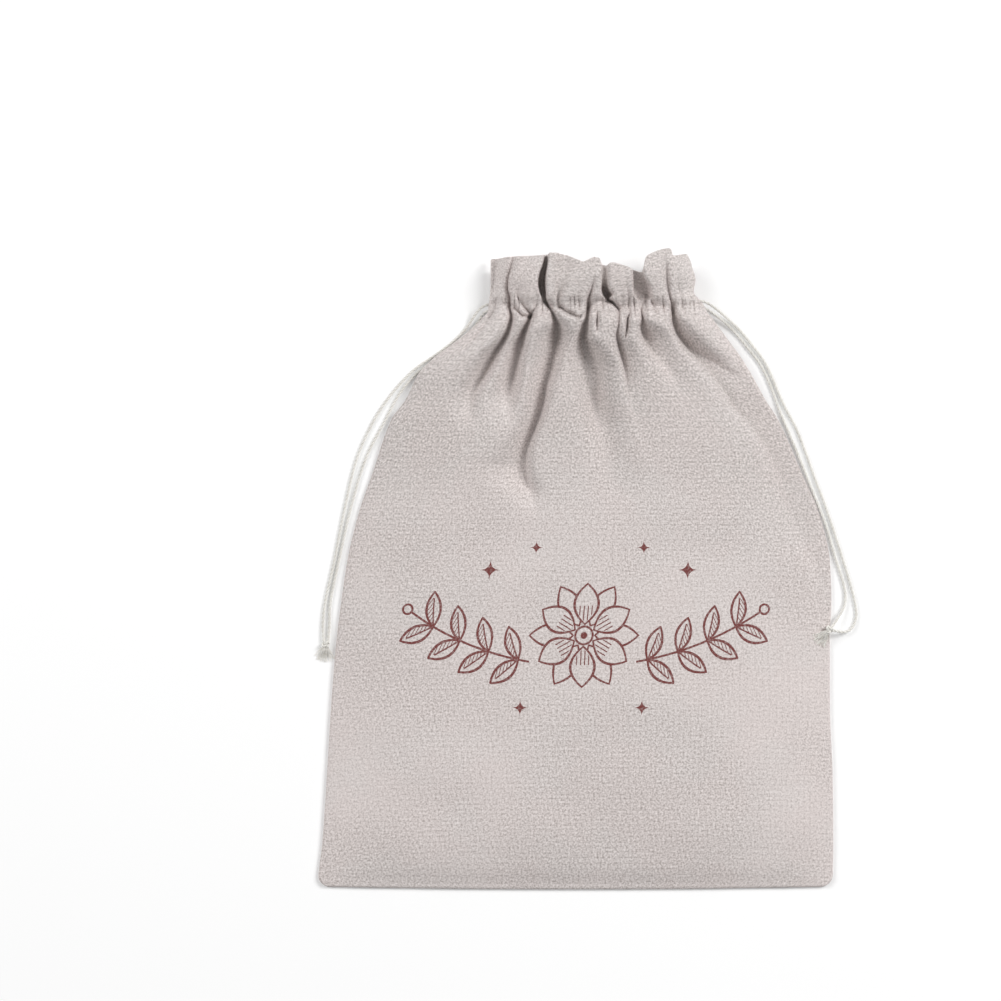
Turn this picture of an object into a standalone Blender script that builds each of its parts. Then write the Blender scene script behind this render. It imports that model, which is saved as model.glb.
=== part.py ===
# Linen bread bag with a drawn mouth, lying on its back.
# X runs across the bag, Y up to its mouth, Z up from the surface that it lies on.
# The script works in metres. The tables are in millimetres, and MM turns them into metres.

import math
from collections import namedtuple

import bmesh
import bpy
import numpy as np
from mathutils import Vector

MM = 0.001

# Driving sizes
CLOTH = 1.1 * MM             # thickness of one panel
SEAM_GAP = 0.3 * MM          # between the two panels at their seam, and between any two pieces
BOTTOM = -185.0 * MM         # the bottom seam
CORNER = 7.0 * MM            # radius of the two bottom corners
BOTTOM_BOW = 1.5 * MM        # how far the middle of the bottom seam bows out
BOW_REACH = 60.0 * MM        # height over which that bow dies away
CHANNEL = 152.5 * MM         # height of the drawn channel's middle
CHANNEL_TOP = 158.5 * MM     # where the heading starts
CASING_OPEN = 2.5 * MM       # how far the panels part where the cords come out
CASING_HALF = 5.5 * MM       # half the length of that slit
CORD = 1.8 * MM              # cord diameter
CORD_STEP = 2.8 * CORD       # spacing of the points along a cord
LAST_COLUMNS = 4             # columns of the front panel from its last valley to the right seam
BACK_PLEATS = 10             # pleats of the back panel across its width
COLUMNS_A_PLEAT = 5
PLEAT_HEIGHT = 3.0 * MM      # pleats of the back panel under the drawn mouth
PLEAT_START = 85.0 * MM      # height where they begin
BACK_HEADING = 0.75          # how far the back heading reaches, as a share of the front one
FINE = 60                    # samples between two valleys before they are cut into columns
ROUTE_FINE = 12              # points of a cord's smooth curve between two points of its route

# Heights in millimetres, as the tables are
HEADING_MIDDLE = 180.0       # mean height of the heading's edge
EDGE_SPAN = 16.0             # above the channel, a fold takes its depth at the edge over this height
EDGE_DRIFT = 20.0            # and its place at the edge over this height
BELOW_SPAN = 20.0            # below the channel, a fold takes its lower depth over this height
FADE = 0.62                  # part of a fold's reach over which it dies away
FOLDS_END = 100.0            # how far below the channel every fold has died away
REST_SPAN = 60.0             # height over which the columns then drift back to even places
FLOOR_START = 60.0           # height where the folds' lowest level begins to rise
FLOOR_SPAN = 60.0            # and the height over which it does
LEAST_RISE = 1.0             # a fold's bottom stays this far above the seams
CASING_SHAPE = 1.6           # how square the ends of the slits are
SIDE_FLAT = 8                # how near the seams the back's pleats stay flat, as a power
SIDE_LIFT = 4                # how near the seams the back lifts to meet the front, as a power

# The lying outline: a row for each height, with the left and the right seam
Outline = namedtuple("Outline", "y left right")
OUTLINE = [
    Outline(-185.0, -150.4, 150.0),
    Outline(-158.8, -147.7, 150.3),
    Outline(-123.2, -145.3, 150.0),
    Outline(-76.5, -142.4, 148.3),
    Outline(-41.4, -139.5, 148.3),
    Outline(-18.1, -136.6, 149.2),
    Outline(5.3, -133.1, 148.3),
    Outline(34.4, -126.1, 141.5),
    Outline(54.3, -119.1, 132.8),
    Outline(87.6, -107.4, 118.0),
    Outline(98.6, -99.4, 110.9),
    Outline(114.4, -91.4, 102.0),
    Outline(123.7, -82.3, 96.3),
    Outline(133.7, -68.9, 89.0),
    Outline(145.3, -55.5, 80.4),
    Outline(150.0, -51.4, 76.6),
    Outline(155.0, -50.6, 74.0),
    Outline(162.0, -49.8, 68.8),
    Outline(170.0, -49.6, 69.8),
    Outline(178.0, -49.6, 67.8),
    Outline(187.0, -49.4, 65.0),
]

# The rise of the cloth: height of the front's ridges, lift of the side seams off the surface,
# and how square the front's arch is between its seams
Rise = namedtuple("Rise", "y ridge lift square")
RISE = [
    Rise(-185.0, 1.4, 0.0, 4.0),
    Rise(-172.0, 5.6, 0.0, 4.0),
    Rise(-145.0, 9.4, 0.0, 4.0),
    Rise(-95.0, 11.6, 0.0, 4.0),
    Rise(-20.0, 12.6, 0.0, 4.0),
    Rise(40.0, 14.0, 0.0, 4.0),
    Rise(80.0, 16.4, 0.7, 4.5),
    Rise(110.0, 19.4, 2.3, 5.0),
    Rise(132.0, 22.4, 3.4, 6.0),
    Rise(145.0, 23.8, 3.9, 7.0),
    Rise(152.5, 21.8, 4.0, 7.0),
    Rise(160.0, 22.8, 4.0, 7.0),
    Rise(170.0, 24.4, 3.8, 7.0),
    Rise(187.0, 23.6, 3.4, 6.0),
]

# The gathers: a row for each valley of the front panel. First the columns of cloth from the valley
# before it. Its place is a share of the width, from the left seam, at the heading's edge, at the
# channel, 30 mm below it and at the fold's foot. Then its depth at the edge, at the channel and
# 20 mm below, the half widths of its left and right walls, and how far down it dies away.
Valley = namedtuple(
    "Valley", "columns edge channel below foot edge_deep deep below_deep left right reach")
MID_DROP = 30.0
VALLEYS = [
    Valley(3, 0.030, 0.040, 0.070, 0.075, 2.0, 3.5, 3.0, 2.6, 2.6, 34.0),
    Valley(5, 0.090, 0.115, 0.180, 0.189, 8.0, 9.5, 9.0, 3.4, 3.0, 66.0),
    Valley(6, 0.195, 0.206, 0.270, 0.275, 3.0, 8.5, 8.5, 4.0, 2.8, 66.0),
    Valley(6, 0.268, 0.305, 0.378, 0.354, 12.5, 10.5, 11.0, 4.4, 2.4, 112.0),
    Valley(5, 0.370, 0.390, 0.430, 0.440, 4.5, 5.0, 0.0, 3.6, 3.6, 18.0),
    Valley(5, 0.490, 0.460, 0.505, 0.523, 6.0, 10.0, 10.5, 3.6, 4.4, 82.0),
    Valley(7, 0.556, 0.580, 0.598, 0.620, 12.5, 9.0, 6.5, 2.4, 4.2, 62.0),
    Valley(4, 0.655, 0.634, 0.636, 0.660, 3.0, 7.0, 4.0, 2.8, 2.8, 28.0),
    Valley(5, 0.738, 0.700, 0.708, 0.755, 12.8, 8.5, 7.0, 3.4, 6.0, 66.0),
    Valley(7, 0.853, 0.835, 0.870, 0.940, 4.5, 10.5, 9.5, 2.6, 5.0, 96.0),
    Valley(4, 0.920, 0.905, 0.935, 0.970, 3.0, 3.5, 0.0, 2.8, 2.8, 14.0),
]
VALLEY_FLOOR = 10.4          # the front never dips below this over the mouth

# The heading's wavy edge: share of the width from the left seam, and height
Edge = namedtuple("Edge", "share y")
EDGE = [
    Edge(0.00, 180.6),
    Edge(0.09, 181.6),
    Edge(0.25, 182.0),
    Edge(0.30, 183.4),
    Edge(0.38, 181.0),
    Edge(0.455, 178.2),
    Edge(0.51, 181.2),
    Edge(0.55, 175.4),
    Edge(0.60, 178.2),
    Edge(0.67, 175.6),
    Edge(0.735, 173.0),
    Edge(0.775, 182.4),
    Edge(0.865, 186.6),
    Edge(0.895, 182.8),
    Edge(0.96, 183.8),
    Edge(1.00, 175.0),
]

# Rows of the front panel, up to the channel's top, and shares of the heading above it
FRONT_ROWS = [-185.0, -182.9, -178.0, -168.0, -148.0, -110.0, -60.0, -10.0, 30.0, 56.0, 76.0,
              92.0, 106.0, 118.0, 128.0, 137.0, 144.0, 148.5, 152.5, 156.5, 159.5]
BACK_ROWS = FRONT_ROWS[:-1]
HEADING_SHARES = [0.28, 0.62, 1.0]

# Cord routes: the centre line's points, from inside the channel's end to the knot
LEFT_OUTER = [
    (-46.5, 154.4, 6.4), (-51.5, 154.2, 6.4), (-56.0, 151.8, 5.2), (-59.4, 147.4, 3.2),
    (-62.8, 142.3, 1.5), (-67.6, 136.6, 0.98), (-74.6, 130.4, 0.98), (-82.6, 124.6, 0.98),
    (-90.4, 119.4, 0.98), (-97.4, 113.6, 0.98), (-108.0, 101.6, 0.98), (-117.9, 86.4, 0.98),
    (-127.8, 64.2, 0.98), (-134.8, 35.0, 0.98), (-140.7, 5.3, 0.98), (-145.9, -18.1, 0.98),
    (-147.4, -32.0, 1.1), (-146.8, -41.3, 1.7),
]
LEFT_INNER = [
    (-46.5, 150.8, 6.4), (-51.0, 150.6, 6.4), (-54.2, 148.6, 5.0), (-56.8, 144.6, 2.8),
    (-60.2, 140.0, 1.3), (-65.4, 134.8, 0.98), (-72.8, 128.4, 0.98), (-80.8, 122.6, 0.98),
    (-88.2, 117.8, 0.98), (-94.6, 112.6, 0.98), (-103.2, 101.8, 0.98), (-111.4, 86.4, 0.98),
    (-122.6, 64.2, 0.98), (-131.3, 35.0, 0.98), (-138.0, 5.3, 0.98), (-142.9, -18.1, 0.98),
    (-143.6, -32.0, 1.1), (-144.2, -41.2, 1.9),
]
RIGHT_INNER = [
    (69.5, 153.0, 6.4), (74.5, 152.4, 6.3), (79.4, 149.6, 4.8), (86.0, 144.8, 2.2),
    (93.4, 137.8, 0.98), (100.7, 129.0, 0.98), (107.4, 120.2, 0.98), (111.9, 111.5, 0.98),
    (115.8, 101.6, 0.98), (119.4, 91.6, 0.98), (125.6, 77.2, 0.98), (131.4, 63.0, 0.98),
    (137.0, 49.0, 0.98), (142.2, 36.0, 0.98), (147.0, 23.0, 0.98), (151.0, 8.4, 0.98),
    (155.7, -6.4, 0.98), (157.4, -15.4, 1.1), (156.2, -22.6, 1.9), (152.6, -28.6, 3.4),
    (150.0, -32.3, 4.6),
]
RIGHT_OUTER = [
    (69.5, 156.6, 6.4), (74.8, 156.0, 6.2), (80.6, 152.8, 4.6), (87.8, 147.0, 2.1),
    (95.4, 139.9, 0.98), (102.9, 131.0, 0.98), (109.8, 121.8, 0.98), (114.5, 112.5, 0.98),
    (118.6, 102.4, 0.98), (123.2, 92.6, 0.98), (128.8, 82.0, 0.98), (134.4, 67.7, 0.98),
    (139.6, 53.1, 0.98), (144.6, 40.0, 0.98), (149.5, 26.0, 0.98), (154.3, 11.0, 0.98),
    (159.0, -4.1, 0.98), (162.5, -17.1, 0.98), (163.7, -27.0, 1.0), (161.1, -34.2, 1.6),
    (156.4, -36.4, 2.9), (150.9, -35.7, 5.0),
]

# Knots: centre of the head, its half sizes, then the frayed tail: the middle of its fan as a
# compass angle from +X, the fan's spread, and how long its strands are
Knot = namedtuple("Knot", "x y z size fan spread length")
LEFT_KNOT = Knot(-145.6, -43.9, 2.1, (2.3, 2.1, 1.9), -100.0, 76.0, 9.8)
RIGHT_KNOT = Knot(147.6, -35.0, 5.6, (2.2, 2.3, 1.9), -126.0, 54.0, 10.8)
TAIL_STRANDS = 7
TAIL_START = 0.06            # share of a strand's length at which it starts, inside the head
TAIL_DROP = 0.62             # share of its length over which a strand comes down
ON_CLOTH = 3.0               # a knot higher than this, in millimetres, lies on the bag
STRAND = 0.56 * MM           # diameter of a frayed strand
STRAND_POINTS = 5
UNEVEN = (0.94, 1.06, 0.88, 1.0, 1.08, 0.9, 1.03)                # lengths of the strands

LINEN = (0.62, 0.55, 0.53, 1.0)
COTTON = (0.80, 0.77, 0.70, 1.0)


def ease(x):
    """Smooth step from 0 to 1."""
    x = np.clip(x, 0.0, 1.0)
    return x * x * (3.0 - 2.0 * x)


def along(table, key, column, at):
    """A column of a table, read smoothly at a value of its key column."""
    keys = [getattr(row, key) for row in table]
    values = [getattr(row, column) for row in table]
    at = np.asarray(at, float)
    step = np.diff(keys)
    rise = np.diff(values) / step
    slope = np.zeros(len(keys))
    same = rise[:-1] * rise[1:] > 0
    slope[1:-1][same] = 2.0 * rise[:-1][same] * rise[1:][same] / (rise[:-1] + rise[1:])[same]
    i = np.clip(np.searchsorted(keys, at) - 1, 0, len(step) - 1)
    t = np.clip((at - np.take(keys, i)) / step[i], 0.0, 1.0)
    start, end = np.take(values, i), np.take(values, i + 1)
    return (start * (1 + 2 * t) * (1 - t) ** 2 + end * t * t * (3 - 2 * t)
            + step[i] * (slope[i] * t * (1 - t) ** 2 - slope[i + 1] * t * t * (1 - t)))


def rise(column, y):
    """A column of the rise table in millimetres, at a height in metres."""
    return along(RISE, "y", column, y / MM)


def seams(y):
    """The left and the right seam at a height, with the bottom corners rounded."""
    above = np.clip((y - BOTTOM) / CORNER, 0.0, 1.0)
    cut = CORNER * (1.0 - math.sqrt(1.0 - (1.0 - above) ** 2))
    left = along(OUTLINE, "y", "left", y / MM) * MM + cut
    return left, along(OUTLINE, "y", "right", y / MM) * MM - cut


def casing(y):
    """1 at the slits in the side seams where the cords come out, 0 away from them."""
    return ease(CASING_SHAPE - abs(y - CHANNEL) / CASING_HALF)


def valley_depth(valley, y):
    """How deep a valley of the gathers is at a height, in millimetres."""
    below = (CHANNEL - y) / MM
    if below < 0:
        return valley.deep + (valley.edge_deep - valley.deep) * ease(-below / EDGE_SPAN)
    start = valley.deep + (valley.below_deep - valley.deep) * ease(below / BELOW_SPAN)
    return start * ease((valley.reach - below) / (FADE * valley.reach))


def valley_share(valley, y):
    """Where a valley lies at a height, as a share of the width from the left seam."""
    below = (CHANNEL - y) / MM
    if below < 0:
        return valley.channel + (valley.edge - valley.channel) * ease(-below / EDGE_DRIFT)
    if below < MID_DROP:
        return valley.channel + (valley.below - valley.channel) * below / MID_DROP
    far = (below - MID_DROP) / max(valley.reach - MID_DROP, BELOW_SPAN)
    return valley.below + (valley.foot - valley.below) * min(far, 1.0)


def front_height(share, y):
    """Height of the front panel's inner face, for shares of the width at one height."""
    left, right = seams(y)
    width = (right - left) / MM
    side = np.abs(2.0 * share - 1.0)
    arch = 1.0 - side ** rise("square", y)
    base = rise("lift", y) + (CLOTH + SEAM_GAP + CASING_OPEN * casing(y)) / MM
    height = base + (rise("ridge", y) - base) * arch
    dip = np.zeros_like(share)
    for valley in VALLEYS:
        off = (share - valley_share(valley, y)) * width
        wall = np.where(off < 0, valley.left, valley.right)
        dip = np.maximum(dip, valley_depth(valley, y) * np.exp(-((off / wall) ** 2)))
    floor = VALLEY_FLOOR * ease((y / MM - FLOOR_START) / FLOOR_SPAN)
    low = np.minimum(height, np.maximum(floor, base + LEAST_RISE))
    return np.maximum(height - dip, low) * MM


def back_height(share, y):
    """Height of the back panel's outer face, for shares of the width at one height."""
    side = np.abs(2.0 * share - 1.0)
    pleat = 0.5 - 0.5 * np.cos(2.0 * math.pi * BACK_PLEATS * share)
    pleat = pleat * (1.0 - side ** SIDE_FLAT) * ease((y - PLEAT_START) / (CHANNEL - PLEAT_START))
    return PLEAT_HEIGHT * pleat + rise("lift", y) * MM * side ** SIDE_LIFT


def even_shares(start, end, columns, y):
    """Shares of the width that part the front's cloth evenly between two places of one height."""
    left, right = seams(y)
    share = np.linspace(start, end, FINE + 1)
    x, z = (right - left) * share, front_height(share, y)
    length = np.concatenate([[0.0], np.cumsum(np.hypot(np.diff(x), np.diff(z)))])
    return np.interp(np.linspace(0.0, length[-1], columns + 1), length, share)


def front_point_row(y):
    """Shares of the width of the front's columns at one height: each valley keeps its column."""
    total = sum(valley.columns for valley in VALLEYS) + LAST_COLUMNS
    rest = ease(((CHANNEL - y) / MM - FOLDS_END) / REST_SPAN)
    shares, start, count = [np.zeros(1)], 0.0, 0
    for valley in VALLEYS:
        count += valley.columns
        end = valley_share(valley, y) * (1.0 - rest) + count / total * rest
        shares.append(even_shares(start, end, valley.columns, y)[1:])
        start = end
    shares.append(even_shares(start, 1.0, LAST_COLUMNS, y)[1:])
    return np.concatenate(shares)


def back_point_row(y):
    """Shares of the width at which the back's columns cross one height."""
    return np.linspace(0.0, 1.0, BACK_PLEATS * COLUMNS_A_PLEAT + 1)


def bottom_bow(share, y):
    return -BOTTOM_BOW * (1.0 - (2.0 * share - 1.0) ** 2) * (1.0 - ease((y - BOTTOM) / BOW_REACH))


def panel_rows(rows, point_row, height, reach):
    """The points of a panel: rows up to the channel's top, then the rows of its heading."""
    levels = [(y * MM, 0.0) for y in rows]
    levels += [(CHANNEL_TOP, share * reach) for share in HEADING_SHARES]
    points = []
    for y, heading in levels:
        mean_y = y + heading * (HEADING_MIDDLE * MM - y)
        share = point_row(mean_y)
        left, right = seams(mean_y)
        edge = along(EDGE, "share", "y", share) * MM
        row_y = y + heading * (edge - y) + bottom_bow(share, y)
        points.append(np.stack([left + (right - left) * share, row_y, height(share, mean_y)], 1))
    return np.array(points)


def material(name, colour, roughness):
    made = bpy.data.materials.new(name)
    made.use_nodes = True
    shader = made.node_tree.nodes["Principled BSDF"]
    shader.inputs["Base Color"].default_value = colour
    shader.inputs["Roughness"].default_value = roughness
    shader.inputs["Metallic"].default_value = 0.0
    made.diffuse_color = colour
    return made


def add_object(name, data, finish, collection):
    made = bpy.data.objects.new(name, data)
    data.materials.append(finish)
    collection.objects.link(made)
    return made


def add_panel(name, points, finish, collection):
    """A grid laid on the panel's points, thickened upwards into one sheet of cloth."""
    rows, columns = points.shape[0] - 1, points.shape[1] - 1
    grid = bmesh.new()
    bmesh.ops.create_grid(grid, x_segments=columns, y_segments=rows, size=0.5)
    for vertex in grid.verts:
        column = round((vertex.co.x + 0.5) * columns)
        row = round((vertex.co.y + 0.5) * rows)
        vertex.co = Vector(points[row, column])
    mesh = bpy.data.meshes.new(name)
    grid.to_mesh(mesh)
    grid.free()
    mesh.shade_smooth()
    panel = add_object(name, mesh, finish, collection)
    sheet = panel.modifiers.new("Cloth", "SOLIDIFY")
    sheet.thickness = CLOTH
    sheet.offset = 1.0
    sheet.use_even_offset = True
    sheet.use_quality_normals = True
    return panel


def smooth_route(points, step):
    """Even points on a smooth curve through a cord's route points, both ends kept."""
    route = [Vector(p) for p in points]
    route = [2 * route[0] - route[1]] + route + [2 * route[-1] - route[-2]]
    dense = []
    for a, b, c, d in zip(route, route[1:], route[2:], route[3:]):
        for i in range(ROUTE_FINE):
            t = i / ROUTE_FINE
            dense.append(0.5 * (2 * b + (c - a) * t + (2 * a - 5 * b + 4 * c - d) * t * t
                                + (3 * b - a - 3 * c + d) * t ** 3))
    dense.append(route[-2])
    lengths = [(q - p).length for p, q in zip(dense, dense[1:])]
    at = np.concatenate([[0.0], np.cumsum(lengths)])
    count = max(2, round(at[-1] / step))
    wanted = np.linspace(0.0, at[-1], count + 1)
    return np.stack([np.interp(wanted, at, [p[i] for p in dense]) for i in range(3)], 1)


def add_tube(name, points, diameter, sides, finish, collection):
    """A round strand: a poly curve with a bevel and filled caps."""
    curve = bpy.data.curves.new(name, "CURVE")
    curve.dimensions = "3D"
    curve.bevel_depth = diameter / 2
    curve.bevel_resolution = sides
    curve.use_fill_caps = True
    spline = curve.splines.new("POLY")
    spline.points.add(len(points) - 1)
    for spot, point in zip(spline.points, points):
        spot.co = (*point, 1.0)
    return add_object(name, curve, finish, collection)


def add_cord(name, route, finish, collection):
    points = smooth_route([Vector(p) * MM for p in route], CORD_STEP)
    return add_tube(name, points, CORD, 2, finish, collection)


def cloth_top(x, y):
    """Height of the front panel's outer face at a place, or 0 beside the bag."""
    left, right = seams(y)
    share = (x - left) / (right - left)
    if not 0.0 < share < 1.0:
        return 0.0
    return float(front_height(np.array([share]), y)[0]) + CLOTH


def tail_points(knot, index):
    """One frayed strand, from inside the knot's head out to where it rests."""
    centre = Vector((knot.x, knot.y, knot.z)) * MM
    turn = knot.fan + knot.spread * (index / (TAIL_STRANDS - 1) - 0.5)
    heading = Vector((math.cos(math.radians(turn)), math.sin(math.radians(turn)), 0.0))
    length = knot.length * MM * UNEVEN[index]
    points = []
    for i in range(STRAND_POINTS):
        out = length * (TAIL_START + (1.0 - TAIL_START) * i / (STRAND_POINTS - 1))
        spot = centre + heading * out
        rest = cloth_top(spot.x, spot.y) + SEAM_GAP * (knot.z > ON_CLOTH) + 0.52 * STRAND
        down = ease(out / (TAIL_DROP * length))
        spot.z = max(rest, centre.z + (rest - centre.z) * down)
        points.append(spot)
    return points


def solid_of_curve(curve_object):
    """The mesh of a curve object, with its caps welded, in place of the curve."""
    graph = bpy.context.evaluated_depsgraph_get()
    mesh = bpy.data.meshes.new_from_object(curve_object.evaluated_get(graph))
    welded = bmesh.new()
    welded.from_mesh(mesh)
    bmesh.ops.remove_doubles(welded, verts=welded.verts, dist=1e-6)
    bmesh.ops.recalc_face_normals(welded, faces=welded.faces)
    welded.to_mesh(mesh)
    welded.free()
    made = bpy.data.objects.new(curve_object.name + "_solid", mesh)
    made.matrix_world = curve_object.matrix_world
    bpy.data.objects.remove(curve_object)
    return made


def add_knot(name, knot, finish, collection, helpers):
    """A knot's round head with the frayed tail fused to it at the roots."""
    ball = bmesh.new()
    bmesh.ops.create_uvsphere(ball, u_segments=14, v_segments=9, radius=1.0)
    for vertex in ball.verts:
        vertex.co = Vector([c * s * MM for c, s in zip(vertex.co, knot.size)])
    mesh = bpy.data.meshes.new(name)
    ball.to_mesh(mesh)
    ball.free()
    mesh.shade_smooth()
    head = add_object(name, mesh, finish, collection)
    head.location = (knot.x * MM, knot.y * MM, knot.z * MM)
    strands = bpy.data.collections.new(name + "_tail")
    helpers.children.link(strands)
    for index in range(TAIL_STRANDS):
        tube = add_tube(name + "_strand", tail_points(knot, index), STRAND, 0, finish, collection)
        bpy.context.view_layer.update()
        strand = solid_of_curve(tube)
        strands.objects.link(strand)
        strand.hide_render = True
        strand.display_type = "WIRE"
    join = head.modifiers.new("Tail", "BOOLEAN")
    join.operation = "UNION"
    join.operand_type = "COLLECTION"
    join.collection = strands
    join.solver = "EXACT"
    return head


def build():
    for old in list(bpy.data.objects):
        bpy.data.objects.remove(old)
    bag = bpy.data.collections.new("linen_bread_bag")
    helpers = bpy.data.collections.new("helpers")
    for made in (bag, helpers):
        bpy.context.scene.collection.children.link(made)
    helpers.hide_render = True
    linen = material("linen", LINEN, 0.9)
    cotton = material("cotton_cord", COTTON, 0.8)

    back = panel_rows(BACK_ROWS, back_point_row, back_height, BACK_HEADING)
    front = panel_rows(FRONT_ROWS, front_point_row, front_height, 1.0)
    add_panel("back_panel", back, linen, bag)
    add_panel("front_panel", front, linen, bag)
    add_cord("left_cord_outer", LEFT_OUTER, cotton, bag)
    add_cord("left_cord_inner", LEFT_INNER, cotton, bag)
    add_cord("right_cord_inner", RIGHT_INNER, cotton, bag)
    add_cord("right_cord_outer", RIGHT_OUTER, cotton, bag)
    add_knot("left_knot", LEFT_KNOT, cotton, bag, helpers)
    add_knot("right_knot", RIGHT_KNOT, cotton, bag, helpers)


build()
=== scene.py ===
# Linen bread bag with a drawn mouth, lying on its back on a pale floor.
# X runs across the bag, Y up to its mouth, Z up from the floor. Tables are in millimetres
# unless a note says metres, and mm turns them into metres.

import math

import bmesh
import bpy
import numpy as np
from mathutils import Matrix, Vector


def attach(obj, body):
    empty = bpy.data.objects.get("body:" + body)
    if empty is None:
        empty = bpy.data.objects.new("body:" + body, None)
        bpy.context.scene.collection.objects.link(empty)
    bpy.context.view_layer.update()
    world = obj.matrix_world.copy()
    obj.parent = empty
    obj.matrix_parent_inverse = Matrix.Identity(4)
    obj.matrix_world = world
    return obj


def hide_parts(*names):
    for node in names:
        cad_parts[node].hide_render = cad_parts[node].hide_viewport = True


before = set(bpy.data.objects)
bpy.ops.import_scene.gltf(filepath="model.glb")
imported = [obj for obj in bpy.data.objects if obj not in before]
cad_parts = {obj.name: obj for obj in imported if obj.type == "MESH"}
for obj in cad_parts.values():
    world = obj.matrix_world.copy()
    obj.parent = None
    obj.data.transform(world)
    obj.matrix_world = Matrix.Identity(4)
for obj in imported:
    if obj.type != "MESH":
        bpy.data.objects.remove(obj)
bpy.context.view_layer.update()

mm = 0.001
print("frame loaded")


# Camera, straight above the bag as in the photograph

cameraSettings = {
    "place": (-0.0438, 0.0403, 2.4),
    "lens": 147.9,
    "sensor": 36.0,
}


def makeCamera(settings):
    data = bpy.data.cameras.new("camera")
    data.lens = settings["lens"]
    data.sensor_width = settings["sensor"]
    data.clip_end = 20.0
    camera = bpy.data.objects.new("camera", data)
    camera.location = settings["place"]
    bpy.context.scene.collection.objects.link(camera)
    bpy.context.scene.camera = camera


makeCamera(cameraSettings)
print("camera set")


# Node helpers: a wire is one output of a node, and its operators add Math nodes

class Wire:
    def __init__(self, tree, socket=None):
        self.tree, self.socket = tree, socket

    def add(self, kind, settings=None, sockets=None, out=0):
        node = self.tree.nodes.new(kind)
        for name, value in (settings or {}).items():
            if name == "stops":
                ramp = node.color_ramp
                while len(ramp.elements) > len(value):
                    ramp.elements.remove(ramp.elements[-1])
                for i, (place, colour) in enumerate(value):
                    stop = ramp.elements[i] if i < len(ramp.elements) else ramp.elements.new(place)
                    stop.position, stop.color = place, colour
            else:
                setattr(node, name, value)
        for key, value in (sockets or {}).items():
            if isinstance(value, Wire):
                self.tree.links.new(value.socket, node.inputs[key])
            else:
                node.inputs[key].default_value = value
        return Wire(self.tree, node.outputs[out])

    def other(self, out):
        return Wire(self.tree, self.socket.node.outputs[out])

    def math(self, operation, *values, clamp=False):
        return self.add("ShaderNodeMath", {"operation": operation, "use_clamp": clamp},
                        dict(enumerate(values)))

    def __add__(self, b): return self.math("ADD", self, b)
    def __radd__(self, b): return self.math("ADD", b, self)
    def __sub__(self, b): return self.math("SUBTRACT", self, b)
    def __rsub__(self, b): return self.math("SUBTRACT", b, self)
    def __mul__(self, b): return self.math("MULTIPLY", self, b)
    def __rmul__(self, b): return self.math("MULTIPLY", b, self)
    def __truediv__(self, b): return self.math("DIVIDE", self, b)
    def __rtruediv__(self, b): return self.math("DIVIDE", b, self)
    def __pow__(self, b): return self.math("POWER", self, b)
    def __neg__(self): return self.math("MULTIPLY", self, -1.0)
    def __abs__(self): return self.math("ABSOLUTE", self)

    def sin(self): return self.math("SINE", self)
    def cos(self): return self.math("COSINE", self)
    def low(self, b): return self.math("MINIMUM", self, b)
    def high(self, b): return self.math("MAXIMUM", self, b)
    def clip(self): return self.math("ADD", self, 0.0, clamp=True)
    def modulo(self, b): return self.math("FLOORED_MODULO", self, b)

    def fade(self, start, end):      # 0 at start, 1 at end, smooth between
        return self.add("ShaderNodeMapRange", {"interpolation_type": "SMOOTHSTEP"},
                        {"Value": self, "From Min": start, "From Max": end})

    def split(self):
        parts = self.add("ShaderNodeSeparateXYZ", None, {0: self})
        return parts, parts.other(1), parts.other(2)

    def join(self, x, y, z=0.0):
        return self.add("ShaderNodeCombineXYZ", None, {0: x, 1: y, 2: z})


def newFinish(name, roughness, colour):
    finish = bpy.data.materials.new(name)
    finish.use_nodes = True
    finish.diffuse_color = (*colour, 1.0)
    tree = finish.node_tree
    shader = tree.nodes["Principled BSDF"]
    shader.inputs["Roughness"].default_value = roughness
    shader.inputs["Specular IOR Level"].default_value = 0.25
    shader.inputs["Base Color"].default_value = (*colour, 1.0)
    return finish, Wire(tree), shader


def noise(wire, vector, scale=1.0, detail=2.0, rough=0.5):
    return wire.add("ShaderNodeTexNoise", {"noise_dimensions": "3D"},
                    {"Vector": vector, "Scale": scale, "Detail": detail, "Roughness": rough})


# Shapes shared by the pieces

def ease(x):
    x = np.clip(x, 0.0, 1.0)
    return x * x * (3.0 - 2.0 * x)


def readTable(rows, column, at):      # a smooth curve through one column of a table
    keys = np.array([row[0] for row in rows], float)
    values = np.array([row[column] for row in rows], float)
    at = np.asarray(at, float)
    step = np.diff(keys)
    climb = np.diff(values) / step
    slope = np.zeros(len(keys))
    same = climb[:-1] * climb[1:] > 0
    slope[1:-1][same] = 2.0 * climb[:-1][same] * climb[1:][same] / (climb[:-1] + climb[1:])[same]
    i = np.clip(np.searchsorted(keys, at) - 1, 0, len(step) - 1)
    t = np.clip((at - keys[i]) / step[i], 0.0, 1.0)
    return (values[i] * (1 + 2 * t) * (1 - t) ** 2 + values[i + 1] * t * t * (3 - 2 * t)
            + step[i] * (slope[i] * t * (1 - t) ** 2 - slope[i + 1] * t * t * (1 - t)))


def makeObject(name, mesh, *finishes):
    made = bpy.data.objects.new(name, mesh)
    for finish in finishes:
        mesh.materials.append(finish)
    bpy.context.scene.collection.objects.link(made)
    return made


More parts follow.
